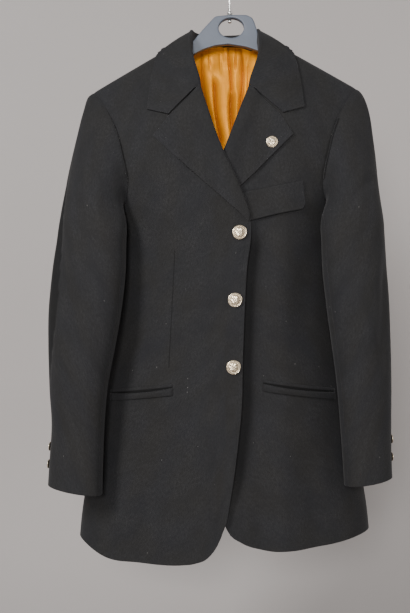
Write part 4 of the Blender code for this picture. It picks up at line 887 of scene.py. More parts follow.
def collar_lines(steps):
    """Folds, outer edges and stand depths of the collar at stations, 0 at the gorge and 9
    behind the neck: straight over the collar's cut end, smooth curves behind it."""
    rows = {"step": np.arange(len(COLLAR["fold_x"])), "stand": COLLAR["stand"]}
    for axis, name in enumerate(("fold_x", "fold_y", "fold_z")):
        rows["fold", axis] = COLLAR[name]
    front_edge, _ = laid_on(COLLAR["edge_x"], COLLAR["edge_z"], COLLAR_LIFT + COLLAR_WALL)
    back_edge, _ = laid_on(COLLAR["edge_x"], COLLAR["edge_z"], COLLAR_LIFT + COLLAR_WALL, False, BACK)
    edge = np.where(COLLAR["back"][:, None] > 0.5, back_edge, front_edge)
    for axis in range(3):
        rows["edge", axis] = edge[:, axis]
    later = {key: column[1:] for key, column in rows.items()}
    lines = []
    for part in ("fold", "edge"):
        smooth = np.stack([along(later, "step", (part, axis), steps) for axis in range(3)], axis=-1)
        corners = [np.interp(steps, rows["step"], rows[part, axis]) for axis in range(3)]
        straight = np.stack(corners, axis=-1)
        lines.append(np.where(steps[:, None] < 1, straight, smooth))
    return lines[0], lines[1], np.interp(steps, rows["step"], rows["stand"])


def clear_of_body(points, lift):
    """Points moved forwards or backwards out of the body, to stand clear of it by lift."""
    x, y, z = points[..., 0], points[..., 1], points[..., 2]
    front, front_normal = laid_on(x, z, 0.0)
    back, back_normal = laid_on(x, z, 0.0, False, BACK)
    front_y = front[..., 1] - lift / np.maximum(np.abs(front_normal[..., 1]), 0.35)
    back_y = back[..., 1] + lift / np.maximum(np.abs(back_normal[..., 1]), 0.35)
    middle = (front[..., 1] + back[..., 1]) / 2
    moved = np.where(y < middle, np.minimum(y, front_y), np.maximum(y, back_y))
    above = z > ridge_height(x) + lift
    result = points.copy()
    result[..., 1] = np.where(above, y, moved)
    return result


def make_collar(wool, settings):
    """The collar is one cloth, lofted through stations round the neck: at each it goes up the
    stand, over the fold in a half circle, and down the fall to its outer edge."""
    last = len(COLLAR["fold_x"]) - 1
    cut_end, round_neck = np.linspace(0.06, 1.0, 14), np.linspace(1.03, last, COLLAR_STATIONS)
    half = np.concatenate([[0.0, 0.012], cut_end, round_neck])
    steps = np.concatenate([half, half[-2::-1]])
    side = np.where(np.arange(len(steps)) < len(half), -1.0, 1.0)
    fold, edge, stand = collar_lines(steps)
    meets = np.where(side < 0, COLLAR_MEETS[LEFT], COLLAR_MEETS[RIGHT])
    fold[:, 0] -= meets * (1.0 - ease(steps, 0.0, 2.5))
    fold[:, 0] *= side
    edge[:, 0] *= side
    centre = np.array([0.0, -0.012, 0.0])
    outward = unit((fold - centre) * (1.0, 1.0, 0.0))
    outward = unit(outward * (1.0, 0.7, 1.0))
    up = np.array([0.0, 0.0, 1.0])
    middle = fold - outward * FOLD_RADIUS
    turns = np.linspace(0, math.pi, FOLD_STEPS)
    arc = middle[:, None] + FOLD_RADIUS * (
        -np.cos(turns)[None, :, None] * outward[:, None] + np.sin(turns)[None, :, None] * up
    )
    down = np.linspace(1, 0, STAND_STEPS, endpoint=False)[None, :, None]
    lean = -up * stand[:, None] - outward * 0.0015
    stand_part = (middle - outward * FOLD_RADIUS)[:, None] + lean[:, None] * down
    across = ends_close(FALL_STEPS, 0, 1, 0.012)[1:][None, :, None]
    direction = unit(np.stack([side * 0.4, np.sign(edge[:, 1]), side * 0 + 0.5], axis=-1))
    bulge = COLLAR_BULGE * np.sin(math.pi * across[..., 0])
    fall = fold[:, None] + (edge - fold)[:, None] * across + direction[:, None] * bulge[..., None]
    cleared = clear_of_body(fall, COLLAR_LIFT + COLLAR_WALL)
    fall = fall + (cleared - fall) * ease(across, 0.0, 0.25)
    out = np.linalg.norm((fall - fold[:, None])[..., ::2], axis=-1)
    beside_lapel = lapel_lift(out, 0.099, settings)
    right_side, _ = laid_on(fall[..., 0], fall[..., 2], beside_lapel)
    left_side, _ = laid_on(fall[..., 0], fall[..., 2], beside_lapel, True)
    flush = np.where(side[:, None, None] < 0, right_side, left_side)
    near = (1.0 - ease(steps, 0.15, 1.25))[:, None, None]
    fall = fall + (flush - fall) * near * ease(across, 0.0, 0.12)
    grid = np.concatenate([stand_part, arc, fall], axis=1)
    normals = surface_normals(grid, (0, 1, 0))
    first, ending, _, outer = border_distances(grid)
    gorge = np.minimum(first, ending)
    sewn = np.concatenate([np.zeros(len(down[0]) + FOLD_STEPS), 0.4 * ease(across[0, :, 0], 0.0, 0.3)])
    grid = grid - normals * (seam_sink(gorge) * sewn)[..., None]
    uv = np.swapaxes(cloth_uv(np.swapaxes(grid, 0, 1)), 0, 1)
    return [cloth_shell("collar_cloth", grid, normals, COLLAR_WALL, wool, uv, {"edge": outer})]


# Pockets

FLAP = {"start": (0.017, -0.3815), "end": (0.119, -0.3622), "width": 0.044, "slant": (0.019, 0.003)}
FLAP_CORNER = 0.009
HIP_POCKETS = {
    "right": {"start": (-0.0797, -0.6765), "end": (-0.188, -0.6895)},
    "left": {"start": (0.0548, -0.672), "end": (0.18, -0.6925)},
}
UPPER_JET, POCKET_MOUTH, LOWER_JET, MOUTH_BEHIND = 0.005, 0.004, 0.0095, 0.003
FLAP_WALL, UPPER_WALL, LOWER_WALL = 0.0024, 0.0008, 0.0012
UPPER_FULL, LOWER_FULL, UPPER_SINK, LOWER_SINK = 0.0014, 0.0024, 0.0024, 0.003
STRIP_STEPS, STRIP_ROWS = 76, 22


def strip_plan(start, end, width, slant=(0.0, 0.0), corner=0.0):
    """Places of a strip on a front: along its upper edge from start to end, and down by its
    width, leaning from the first to the second slant, with one rounded lower corner."""
    start, end = np.array(start), np.array(end)
    length = np.linalg.norm(end - start)
    turn_at = 1.0 - corner / length
    bow = turn_at + (1.0 - turn_at) * np.sin(np.linspace(0, math.pi / 2, 14))
    run = ends_close(STRIP_STEPS, 0, turn_at, 0.006)
    if corner:
        run = np.concatenate([run[:-2], bow])
    past = np.maximum(run - turn_at, 0.0) * length
    width = width - (corner - np.sqrt(np.maximum(corner**2 - past**2, 0.0)))
    deep = ends_close(STRIP_ROWS, 0, 1, 0.02)
    lean = slant[0] + (slant[1] - slant[0]) * run
    x = start[0] + (end[0] - start[0]) * run[:, None] + lean[:, None] * deep
    z = start[1] + (end[1] - start[1]) * run[:, None] - width[:, None] * deep
    return x, z, run[:, None], deep[None, :] + run[:, None] * 0


def laid_strip(name, side, x, z, lift, wall, material, marks):
    """A strip of cloth on a front at a given height over it."""
    grid, _ = laid_on(x, z, lift + wall, side == RIGHT)
    normals = surface_normals(grid, (0, -1, 0))
    uv = np.swapaxes(cloth_uv(np.swapaxes(grid, 0, 1)), 0, 1)
    marks = {"edge": np.full(x.shape, 1.0), **marks}
    return cloth_shell(name, grid, normals, wall, material, uv, marks)


def make_pockets(wool, settings):
    """The breast flap, full over its edge and standing off below, with painted shade along its
    top seam, and the hip pockets' two folded edges. The upper one is a rounded back with the
    pocket's mouth behind it, painted dark as shade, and a painted dark line along its top; the
    lower one sags open in the middle with painted shade along its bottom, and both sink into
    the front at their ends."""
    x, z, run, deep = strip_plan(FLAP["start"], FLAP["end"], FLAP["width"], FLAP["slant"], FLAP_CORNER)
    stand_off = 0.0006 + settings.flap_lift * deep**2 + 0.001 * np.sin(math.pi * run) * deep
    stand_off = stand_off - 0.0022 * (1.0 - ease(deep, 0.0, 0.06))
    # Painted shade along the flap's top seam
    shade = 0.8 * (1.0 - ease(deep, 0.008, 0.03)) + run * 0
    name = "breast_flap_cloth"
    pieces = [laid_strip(name, RIGHT, x, z, stand_off, FLAP_WALL, wool, {"shade": shade})]
    for word, pocket in HIP_POCKETS.items():
        side = LEFT if word == "right" else RIGHT
        height = UPPER_JET + POCKET_MOUTH + MOUTH_BEHIND
        x, z, run, deep = strip_plan(pocket["start"], pocket["end"], height)
        taper = ease(run, 0.0, 0.05) * ease(run, 1.0, 0.95)
        down = deep * height / UPPER_JET
        back = UPPER_FULL * np.sqrt(np.maximum(1 - (2 * np.minimum(down, 1.0) - 1) ** 2, 0.0))
        lift = 0.0001 + back * taper - UPPER_SINK * (1 - taper)
        # Painted shade: the pocket's mouth behind the upper edge is painted dark, and a thin dark line runs
        # along its top
        shade = 0.95 * ease(down, 0.86, 1.02) + 0.5 * (1.0 - ease(down, 0.02, 0.14))
        name = f"hip_jet_upper_{word}_cloth"
        pieces.append(laid_strip(name, side, x, z, lift, UPPER_WALL, wool, {"shade": shade}))
        gape = np.sin(math.pi * run) ** 0.8
        lower = (0.0, UPPER_JET + 0.0004)
        start, end = np.array(pocket["start"]) - lower, np.array(pocket["end"]) - lower
        x, z, run, deep = strip_plan(start, end, LOWER_JET + POCKET_MOUTH - 0.0004)
        z = z - (POCKET_MOUTH - 0.0006) * gape * (1 - deep) ** 1.5
        back = LOWER_FULL * np.sqrt(np.maximum(1 - (2 * deep - 1) ** 2, 0.0)) * (1 - 0.45 * deep)
        full = back * (1 + 0.5 * gape) + 0.0008 * gape * (1 - deep)
        lift = 0.0006 + full * taper - LOWER_SINK * (1 - taper)
        # Painted shade along the lower edge's bottom
        shade = 0.6 * ease(deep, 0.9, 0.98) + run * 0
        name = f"hip_jet_lower_{word}_cloth"
        pieces.append(laid_strip(name, side, x, z, lift, LOWER_WALL, wool, {"shade": shade}))
    return pieces


# Buttons

FRONT_BUTTONS = ((0.0206, -0.4438), (0.0138, -0.5476), (0.0115, -0.6514))
LAPEL_STUD = (0.0717, -0.3043)
BUTTON_SIZES = table(
    "radius shank base rim crown petals",
    (0.0113, 0.003, 0.0012, 0.0034, 0.0046, 6),
    (0.009, 0.0022, 0.0008, 0.0022, 0.0033, 5),
    (0.0072, 0.0022, 0.0008, 0.0024, 0.0033, 4),
)
FRONT_KIND, STUD_KIND, CUFF_KIND = 0, 1, 2
CUFF_BUTTON_HEIGHTS = {LEFT: (-0.776, -0.804), RIGHT: (-0.772, -0.8)}
CUFF_BUTTON_TURN = 0.055
BUTTON_SEAT, RIM_ROUND, STUD_LIFT = 0.0004, 0.0011, 0.0034
BUTTON_SIDES, BUTTON_RINGS = 84, 46


def make_button(name, place, normal, kind, metal):
    """A pressed metal button as rings round its axis. The back and the rim are a fixed
    profile; over the face the height is a dish with a beaded ring, petals round a boss, and a
    raised outer rim, each a bell or a wave of the radius and the turn."""
    size = {column: values[kind] for column, values in BUTTON_SIZES.items()}
    radius, rim = size["radius"], size["rim"]
    turns = np.linspace(0, 2 * math.pi, BUTTON_SIDES, endpoint=False)[None, :]
    bend = np.linspace(-math.pi / 2, math.pi / 2, 13)[:, None]
    half = (rim - size["base"]) / 2
    back = np.array([(1e-5, -0.0001), (size["shank"], -0.0001), (size["shank"], size["base"])])
    out = radius - RIM_ROUND + RIM_ROUND * np.cos(bend)
    high = size["base"] + half + half * np.sin(bend)
    edge = np.concatenate([out, high], axis=1)
    fixed = np.concatenate([back, edge])
    share = np.linspace(0.9, 0.002, BUTTON_RINGS)[:, None]
    dish = rim - 0.0007 + (size["crown"] - rim) * (1 - share**2)
    cord = 1 + 0.16 * np.cos(34 * turns + 12 * share)
    outer = 0.0007 * np.exp(-(((share - 0.93) / 0.055) ** 2)) * cord
    beads = 0.00034 * np.exp(-(((share - 0.76) / 0.045) ** 2)) * (0.5 + 0.5 * np.cos(26 * turns))
    reach = ease(share, 0.12, 0.26) * ease(share, 0.66, 0.5)
    petals = 0.00055 * reach * (0.5 + 0.5 * np.cos(size["petals"] * turns)) ** 0.6
    veins = 0.00016 * reach * np.cos(3 * size["petals"] * turns)
    boss = 0.0006 * np.exp(-((share / 0.13) ** 2))
    raised = outer + beads + petals + veins + boss
    face_height = dish + raised
    face_radius = np.broadcast_to(share * radius, face_height.shape)
    band = (len(fixed), BUTTON_SIDES)
    reach = np.concatenate([np.broadcast_to(fixed[:, :1], band), face_radius])
    height = np.concatenate([np.broadcast_to(fixed[:, 1:], band), face_height])
    relief = np.concatenate([np.full(band, 0.8), np.clip(raised / 0.0005, 0.0, 1.0)])
    normal = normal / np.linalg.norm(normal)
    first = unit(np.cross(normal, (0.0, 0.0, 1.0)))
    second = np.cross(normal, first)
    spokes = np.cos(turns)[..., None] * first + np.sin(turns)[..., None] * second
    points = place + normal * BUTTON_SEAT + spokes * reach[..., None] + normal * height[..., None]
    quads = round_quads(len(points), BUTTON_SIDES)
    return make_mesh(name, points, quads, metal, None, {"relief": relief})


def make_front_buttons(metal):
    """Three buttons down the front's edge and the round stud on the wearer's left lapel."""
    pieces = []
    for number, (x, z) in enumerate(FRONT_BUTTONS, start=1):
        place, normal = laid_on(np.array([x]), np.array([z]), 0.0)
        name = f"front_button_{number}_metal"
        pieces.append(make_button(name, place[0], normal[0], FRONT_KIND, metal))
    x, z = LAPEL_STUD
    place, normal = laid_on(np.array([x]), np.array([z]), STUD_LIFT, True)
    pieces.append(make_button("lapel_stud_metal", place[0], normal[0], STUD_KIND, metal))
    return pieces


def make_cuff_buttons(metal):
    """Two buttons on the outer edge of each cuff, turned with the sleeve they sit on."""
    pieces = []
    for side, word in ((LEFT, "right"), (RIGHT, "left")):
        grid, normals, _ = sleeve_points(side, np.array([CUFF_BUTTON_TURN]))
        order = np.argsort(grid[:, 0, 2])
        for number, height in enumerate(CUFF_BUTTON_HEIGHTS[side], start=1):
            place, normal = (
                np.array([np.interp(height, grid[order, 0, 2], line[order, 0, axis]) for axis in range(3)])
                for line in (grid, normals)
            )
            name = f"cuff_button_{word}_{number}_metal"
            pieces.append(make_button(name, place, normal, CUFF_KIND, metal))
    return pieces


# Lining

LINING_HALF, LINING_TOP, LINING_TOP_FALL, LINING_BOTTOM = 0.086, -0.1215, 0.04, -0.4
LINING_WALL, LINING_SEAT, LINING_RIPPLE = 0.0009, 0.0006, 0.0005
# DARK_CREASE is the crease depth at which the satin's painted shade is full
BACK_WALL, FULL_CREASE, DARK_CREASE = 0.0021, 0.01, 0.009
LINING_COLUMNS, LINING_ROWS = 180, 90
CREASES = table(
    "top_x middle_x bottom_x top bottom left right depth",
    (-0.064, -0.061, -0.056, -0.11, -0.4, 0.006, 0.003, 0.005),
    (-0.039, -0.0345, -0.017, -0.118, -0.27, 0.003, 0.006, 0.007),
    (-0.029, -0.0275, -0.023, -0.105, -0.16, 0.0014, 0.003, 0.004),
    (-0.009, -0.007, -0.004, -0.1, -0.17, 0.002, 0.002, 0.0022),
    (-0.019, -0.013, -0.002, -0.165, -0.3, 0.0016, 0.006, 0.009),
    (0.0068, 0.0088, 0.015, -0.1, -0.215, 0.0011, 0.0038, 0.0075),
    (0.0105, 0.0125, 0.0165, -0.185, -0.33, 0.0022, 0.0085, 0.009),
    (0.0175, 0.0185, 0.019, -0.1, -0.165, 0.0015, 0.003, 0.0045),
    (0.027, 0.0315, 0.021, -0.1, -0.275, 0.006, 0.0028, 0.008),
    (0.036, 0.037, 0.036, -0.1, -0.16, 0.002, 0.002, 0.003),
    (0.045, 0.042, 0.037, -0.1, -0.24, 0.003, 0.006, 0.004),
    (0.068, 0.066, 0.062, -0.11, -0.4, 0.003, 0.007, 0.005),
)


def make_lining(satin, settings):
    """The back lining, hung full inside the backs. Each crease sinks back towards them as a
    bell with a steep and a soft flank along a bent line, and fades in and out along it."""
    x = ends_close(LINING_COLUMNS, -LINING_HALF, LINING_HALF, 0.003)[None, :]
    down = ends_close(LINING_ROWS, 0.0, 1.0, 0.003)[:, None]
    top = LINING_TOP - LINING_TOP_FALL * (x / LINING_HALF) ** 2
    z = top + (LINING_BOTTOM - top) * down
    x = np.broadcast_to(x, z.shape)
    sunk = np.zeros(z.shape)
    for crease in rows_of(CREASES):
        run = np.clip((z - crease["top"]) / (crease["bottom"] - crease["top"]), 0.0, 1.0)
        bend = crease["middle_x"] - (crease["top_x"] + crease["bottom_x"]) / 2
        middle = crease["top_x"] + (crease["bottom_x"] - crease["top_x"]) * run + 4 * bend * run * (1 - run)
        away = x - middle - 0.0008 * np.sin(70 * z + 900 * crease["depth"])
        width = np.where(away < 0, crease["left"], crease["right"])
        fade = ease(run, 0.0, 0.15) * ease(run, 1.0, 0.75)
        sunk = np.maximum(sunk, crease["depth"] * fade * np.exp(-np.abs(away / width) ** 1.35))
    full = settings.lining_fullness * ease(down, 0.0, 0.1) * ease(down, 1.0, 0.8)
    uneven = LINING_RIPPLE * (1 + ripple(1.6 * x, 0.5 * z, 4.0))
    inward = full * (1.0 - sunk / FULL_CREASE) + uneven
    near, _ = laid_on(x, z, -BACK_WALL - LINING_SEAT, False, BACK)
    near = near - np.stack([inward * 0, inward, inward * 0], axis=-1)
    normals = surface_normals(near, (0, -1, 0))
    # How deep each crease sinks, which the satin paints as shade
    marks = {"crease": sunk / DARK_CREASE}
    return [cloth_shell("lining_back_cloth", near, normals, LINING_WALL, satin, cloth_uv(near), marks)]


# Hanger

HANGER = table(
    "x top bottom half_thickness",
    (-0.191, -0.1985, -0.203, 0.004),
    (-0.185, -0.1947, -0.211, 0.008),
    (-0.16, -0.1799, -0.204, 0.0115),
    (-0.12, -0.1572, -0.186, 0.012),
    (-0.085, -0.1425, -0.168, 0.0095),
    (-0.0544, -0.13, -0.1496, 0.0065),
    (-0.035, -0.107, -0.14, 0.006),
    (-0.016, -0.087, -0.1345, 0.006),
    (0.0057, -0.085, -0.1325, 0.006),
    (0.035, -0.0853, -0.1375, 0.006),
    (0.0453, -0.0905, -0.1412, 0.006),
    (0.051, -0.106, -0.143, 0.006),
    (0.0571, -0.1295, -0.1455, 0.0065),
    (0.085, -0.1425, -0.168, 0.0095),
    (0.12, -0.1572, -0.186, 0.012),
    (0.16, -0.1799, -0.204, 0.0115),
    (0.185, -0.1947, -0.211, 0.008),
    (0.191, -0.1985, -0.203, 0.004),
)
PLATE_LEFT, PLATE_RIGHT = -0.0544, 0.0571
PLATE_HOLE = {"x": 0.0103, "height": -0.106, "half_width": 0.0205, "half_height": 0.016}
PLATE_SIDES, PLATE_RINGS = 360, 22
ARM_SECTIONS, ARM_SIDES = 70, 40
ARM_IN_PLATE, ARM_TIP, TIP_BEGINS, TIP_ROUND = 0.004, 0.191, 0.187, 0.0041
SHANK_X, SHANK_BOTTOM = 0.008, -0.0853
HOOK_INSIDE, HOOK_WIRE = 0.02, 0.0019
HOOK_SHANK = (
    (SHANK_X, 0.0, SHANK_BOTTOM),
    (SHANK_X, 0.0, -0.066),
    (SHANK_X + 0.0006, 0.0, -0.054),
    (0.0118, 0.0, -0.0435),
)
HOOK_COLLAR = table(
    "height radius",
    (-0.0868, 0.004), (-0.0862, 0.0044), (-0.0838, 0.0044), (-0.0832, 0.0036),
    (-0.0826, 0.0036), (-0.082, 0.0042), (-0.0796, 0.0042), (-0.079, 0.0034),
)
HOOK_HEAD = table(
    "height radius",
    (-0.0972, 0.0008), (-0.097, 0.0018), (-0.0962, 0.0027), (-0.0946, 0.0031),
    (-0.0932, 0.0029), (-0.0926, 0.0024), (-0.092, 0.0019), (-0.089, 0.0019),
)


def hanger_at(x):
    """Top, bottom and half thickness of the hanger at x, softened between the rows by an
    average over a few millimetres."""
    values = []
    for name in ("top", "bottom", "half_thickness"):
        steps = np.linspace(-0.0028, 0.0028, 9)
        spread = [np.interp(x + step, HANGER["x"], HANGER[name]) for step in steps]
        values.append(np.mean(spread, axis=0))
    return values


def plate_outline(turns):
    """The plate's outline met by rays from the middle of the hole: the outline's own turns
    round the hole are worked out and read back at even turns."""
    x = np.linspace(PLATE_LEFT, PLATE_RIGHT, 600)
    top, bottom, _ = hanger_at(x)
    upright = np.linspace(0, 1, 60)
    right_z = top[-1] + (bottom[-1] - top[-1]) * upright
    left_z = bottom[0] + (top[0] - bottom[0]) * upright
    right_end = np.column_stack([np.full(60, PLATE_RIGHT), right_z])
    left_end = np.column_stack([np.full(60, PLATE_LEFT), left_z])
    upper, lower = np.column_stack([x, top]), np.column_stack([x, bottom])[::-1]
    loop = np.concatenate([upper, right_end[1:-1], lower, left_end[1:-1]])
    centre = np.array([PLATE_HOLE["x"], PLATE_HOLE["height"]])
    round_it = np.unwrap(np.arctan2(loop[:, 1] - centre[1], loop[:, 0] - centre[0]))
    order = np.argsort(round_it)
    away = np.linalg.norm(loop - centre, axis=1)
    base = round_it[order][0]
    full = 2 * math.pi
    return np.interp(np.mod(turns - base, full) + base, round_it[order], away[order], period=full)


def make_plate(plastic):
    """The arched plate as a ring round its hole: from the hole's rim out over the front face,
    round the outer edge and back over the rear face, with both edges rounded."""
    turns = np.linspace(0, 2 * math.pi, PLATE_SIDES, endpoint=False)
    away = plate_outline(turns)
    hole = PLATE_HOLE["half_width"] * PLATE_HOLE["half_height"] / np.hypot(
        PLATE_HOLE["half_height"] * np.cos(turns), PLATE_HOLE["half_width"] * np.sin(turns)
    )
    half, round_by = 0.006, 0.0022
    bend = np.linspace(0, math.pi / 2, 7)
    inner_reach = hole[None, :] + round_by * (1 - np.cos(bend))[:, None]
    inner_high = (half - round_by + round_by * np.sin(bend))[:, None] + 0 * inner_reach
    share = np.linspace(0, 1, PLATE_RINGS + 2)[1:-1, None]
    face_reach = (hole + round_by) + (away - round_by - hole - round_by) * share
    face_high = np.full(face_reach.shape, half)
    outer_reach = away[None, :] - round_by + round_by * np.sin(bend)[:, None]
    outer_high = (half - round_by + round_by * np.cos(bend))[:, None] + 0 * outer_reach
    reach = np.concatenate([inner_reach, face_reach, outer_reach])
    high = np.concatenate([inner_high, face_high, outer_high])
    reach = np.concatenate([reach, reach[::-1]])
    depth = np.concatenate([-high, high[::-1]])
    x = PLATE_HOLE["x"] + reach * np.cos(turns)
    z = PLATE_HOLE["height"] + reach * np.sin(turns)
    points = np.stack([x, depth, z], axis=-1)
    number = np.arange(points.shape[0] * points.shape[1]).reshape(points.shape[:2])
    after = np.roll(number, -1, axis=1)
    down, down_after = np.roll(number, -1, axis=0), np.roll(after, -1, axis=0)
    quads = np.stack([number, after, down_after, down], axis=-1).reshape(-1, 4)
    return make_mesh("hanger_plate_plastic", points, quads, plastic)


def make_arm(side, word, plastic):
    """An arm of the hanger: an oval section, squarer towards the plate, carried along x from
    inside the plate to the rounded tip."""
    start = (PLATE_LEFT if side == LEFT else PLATE_RIGHT) - side * ARM_IN_PLATE
    x = start + (side * ARM_TIP - start) * (1 - (1 - np.linspace(0, 1, ARM_SECTIONS)) ** 1.5)
    top, bottom, half = (values[:, None] for values in hanger_at(x))
    turns = np.linspace(0, 2 * math.pi, ARM_SIDES, endpoint=False)[None, :]
    power = 0.6 + 0.4 * ease(np.abs(x), 0.058, 0.075)[:, None]
    past = ((np.abs(x) - TIP_BEGINS) / TIP_ROUND).clip(0, 1)
    tip = np.sqrt(np.clip(1 - past**2, 0.0, 1.0))[:, None]
    across = np.sign(np.cos(turns)) * np.abs(np.cos(turns)) ** power * tip
    upward = np.sign(np.sin(turns)) * np.abs(np.sin(turns)) ** power * tip
    middle, high = (top + bottom) / 2, (top - bottom) / 2
    shrink = np.where(np.arange(len(x))[:, None] == 0, 0.97, 1.0)
    lengthwise = np.broadcast_to(x[:, None], across.shape)
    points = np.stack([lengthwise, half * across * shrink, middle + high * upward], axis=-1)
    centres = points.mean(axis=1, keepdims=True)
    closed = centres + (points - centres) * 0.001
    points = np.concatenate([closed[:1], points, closed[-1:]])
    quads = round_quads(len(points), ARM_SIDES)
    return make_mesh(f"hanger_arm_{word}_plastic", points, quads, plastic)


def make_hanger(plastic):
    """The moulded hanger: the arched plate with its round hole, and an arm on each side."""
    return [make_plate(plastic), make_arm(LEFT, "right", plastic), make_arm(RIGHT, "left", plastic)]


def make_hook(steel):
    """The wire hook, a circle carried up the shank, over a short bend and round most of a
    circle to a domed end, with a small turned collar where it enters the plate and its head
    in the plate's hole."""
    radius = HOOK_INSIDE + HOOK_WIRE
    angles = np.radians(np.linspace(-48, 205, 22))
    arc = np.column_stack([radius * np.cos(angles), angles * 0, -HOOK_INSIDE + radius * np.sin(angles)])
    knots = np.concatenate([np.array(HOOK_SHANK), arc])
    steps = {"step": np.arange(len(knots)), "x": knots[:, 0], "z": knots[:, 2]}
    fine = np.linspace(0, len(knots) - 1, 180)
    path = np.column_stack([along(steps, "step", "x", fine), fine * 0, along(steps, "step", "z", fine)])
    left = np.linalg.norm(path[-1] - path, axis=1)
    near_end = np.where(fine > len(knots) - 4, left, 1.0)
    dome = 1 - (1 - np.minimum(near_end / HOOK_WIRE, 1.0)) ** 2
    radii = HOOK_WIRE * np.sqrt(np.clip(dome, 0.02, 1.0))
    pieces = [tube("hook_steel", path, radii, 36, steel)]
    for name, rings in (("hook_collar_steel", HOOK_COLLAR), ("hook_head_steel", HOOK_HEAD)):
        heights = rings["height"]
        line = np.column_stack([np.full(len(heights), SHANK_X), heights * 0, heights])
        pieces.append(tube(name, line, rings["radius"], 48, steel))
    return pieces


# Materials

def fill(tree, node, inputs):
    """Joins a node's inputs to sockets or sets them to values."""
    for name, value in dict(inputs).items():
        if isinstance(value, bpy.types.NodeSocket):
            tree.links.new(value, node.inputs[name])
        else:
            node.inputs[name].default_value = value


def add_node(tree, kind, inputs=(), **settings):
    """A shader node with its settings and inputs."""
    node = tree.nodes.new(kind)
    for name, value in settings.items():
        setattr(node, name, value)
    fill(tree, node, inputs)
    return node


def new_material(name, make_inputs, settings):
    """A material whose surface shader has the inputs that a function works out."""
    material = bpy.data.materials.new(name)
    material.use_nodes = True
    tree = material.node_tree
    fill(tree, tree.nodes["Principled BSDF"], make_inputs(tree, settings))
    return material


def cloth_place(tree, stretch=(1.0, 1.0, 1.0), turn=0.0):
    """The cloth's own coordinates in metres, stretched and turned."""
    uv = add_node(tree, "ShaderNodeUVMap", uv_map="cloth")
    inputs = {"Vector": uv.outputs["UV"], "Scale": stretch, "Rotation": (0.0, 0.0, turn)}
    return add_node(tree, "ShaderNodeMapping", inputs).outputs["Vector"]


def solid_place(tree):
    """The object's own coordinates in metres."""
    return add_node(tree, "ShaderNodeTexCoord").outputs["Object"]


def marked(tree, name):
    """A value that is kept on the piece's points."""
    return add_node(tree, "ShaderNodeAttribute", attribute_name=name).outputs["Fac"]


def maths(tree, operation, first, second=0.0, third=0.0):
    """The result of one arithmetic node."""
    inputs = {0: first, 1: second, 2: third}
    return add_node(tree, "ShaderNodeMath", inputs, operation=operation).outputs["Value"]


def product(tree, first, *others):
    """Values multiplied together."""
    for other in others:
        first = maths(tree, "MULTIPLY", first, other)
    return first


def mapped(tree, value, low, high, to_low, to_high):
    """A value carried from one range to another and held inside it."""
    inputs = {"Value": value, "From Min": low, "From Max": high, "To Min": to_low, "To Max": to_high}
    return add_node(tree, "ShaderNodeMapRange", inputs).outputs["Result"]


def toned(colour, factors, added=0.0):
    """A colour whose channels are scaled, each by its own factor, and raised."""
    return tuple(channel * factor + added for channel, factor in zip(colour, factors))


def blended(tree, share, first, second):
    """Two colours mixed by a share."""
    mix = add_node(tree, "ShaderNodeMix", {"Factor": share}, data_type="RGBA")
    for socket, value in ((6, first), (7, second)):
        fill(tree, mix, {socket: value if isinstance(value, bpy.types.NodeSocket) else (*value, 1.0)})
    return mix.outputs[2]


def fractal(tree, vector, scale, detail=3.0, roughness=0.55):
    """The grey value of fractal noise."""
    inputs = {"Vector": vector, "Scale": scale, "Detail": detail, "Roughness": roughness}
    return add_node(tree, "ShaderNodeTexNoise", inputs).outputs["Fac"]


def waves(tree, vector, scale, direction, more=()):
    """The grey value of parallel waves."""
    inputs = {"Vector": vector, "Scale": scale, **dict(more)}
    return add_node(tree, "ShaderNodeTexWave", inputs, bands_direction=direction).outputs["Fac"]


def bumped(tree, height, strength, distance, under=None, invert=False):
    """A normal tilted by the slopes of a height, over an earlier normal where there is one."""
    inputs = {"Strength": strength, "Distance": distance, "Height": height}
    if under is not None:
        inputs["Normal"] = under
    return add_node(tree, "ShaderNodeBump", inputs, invert=invert).outputs["Normal"]


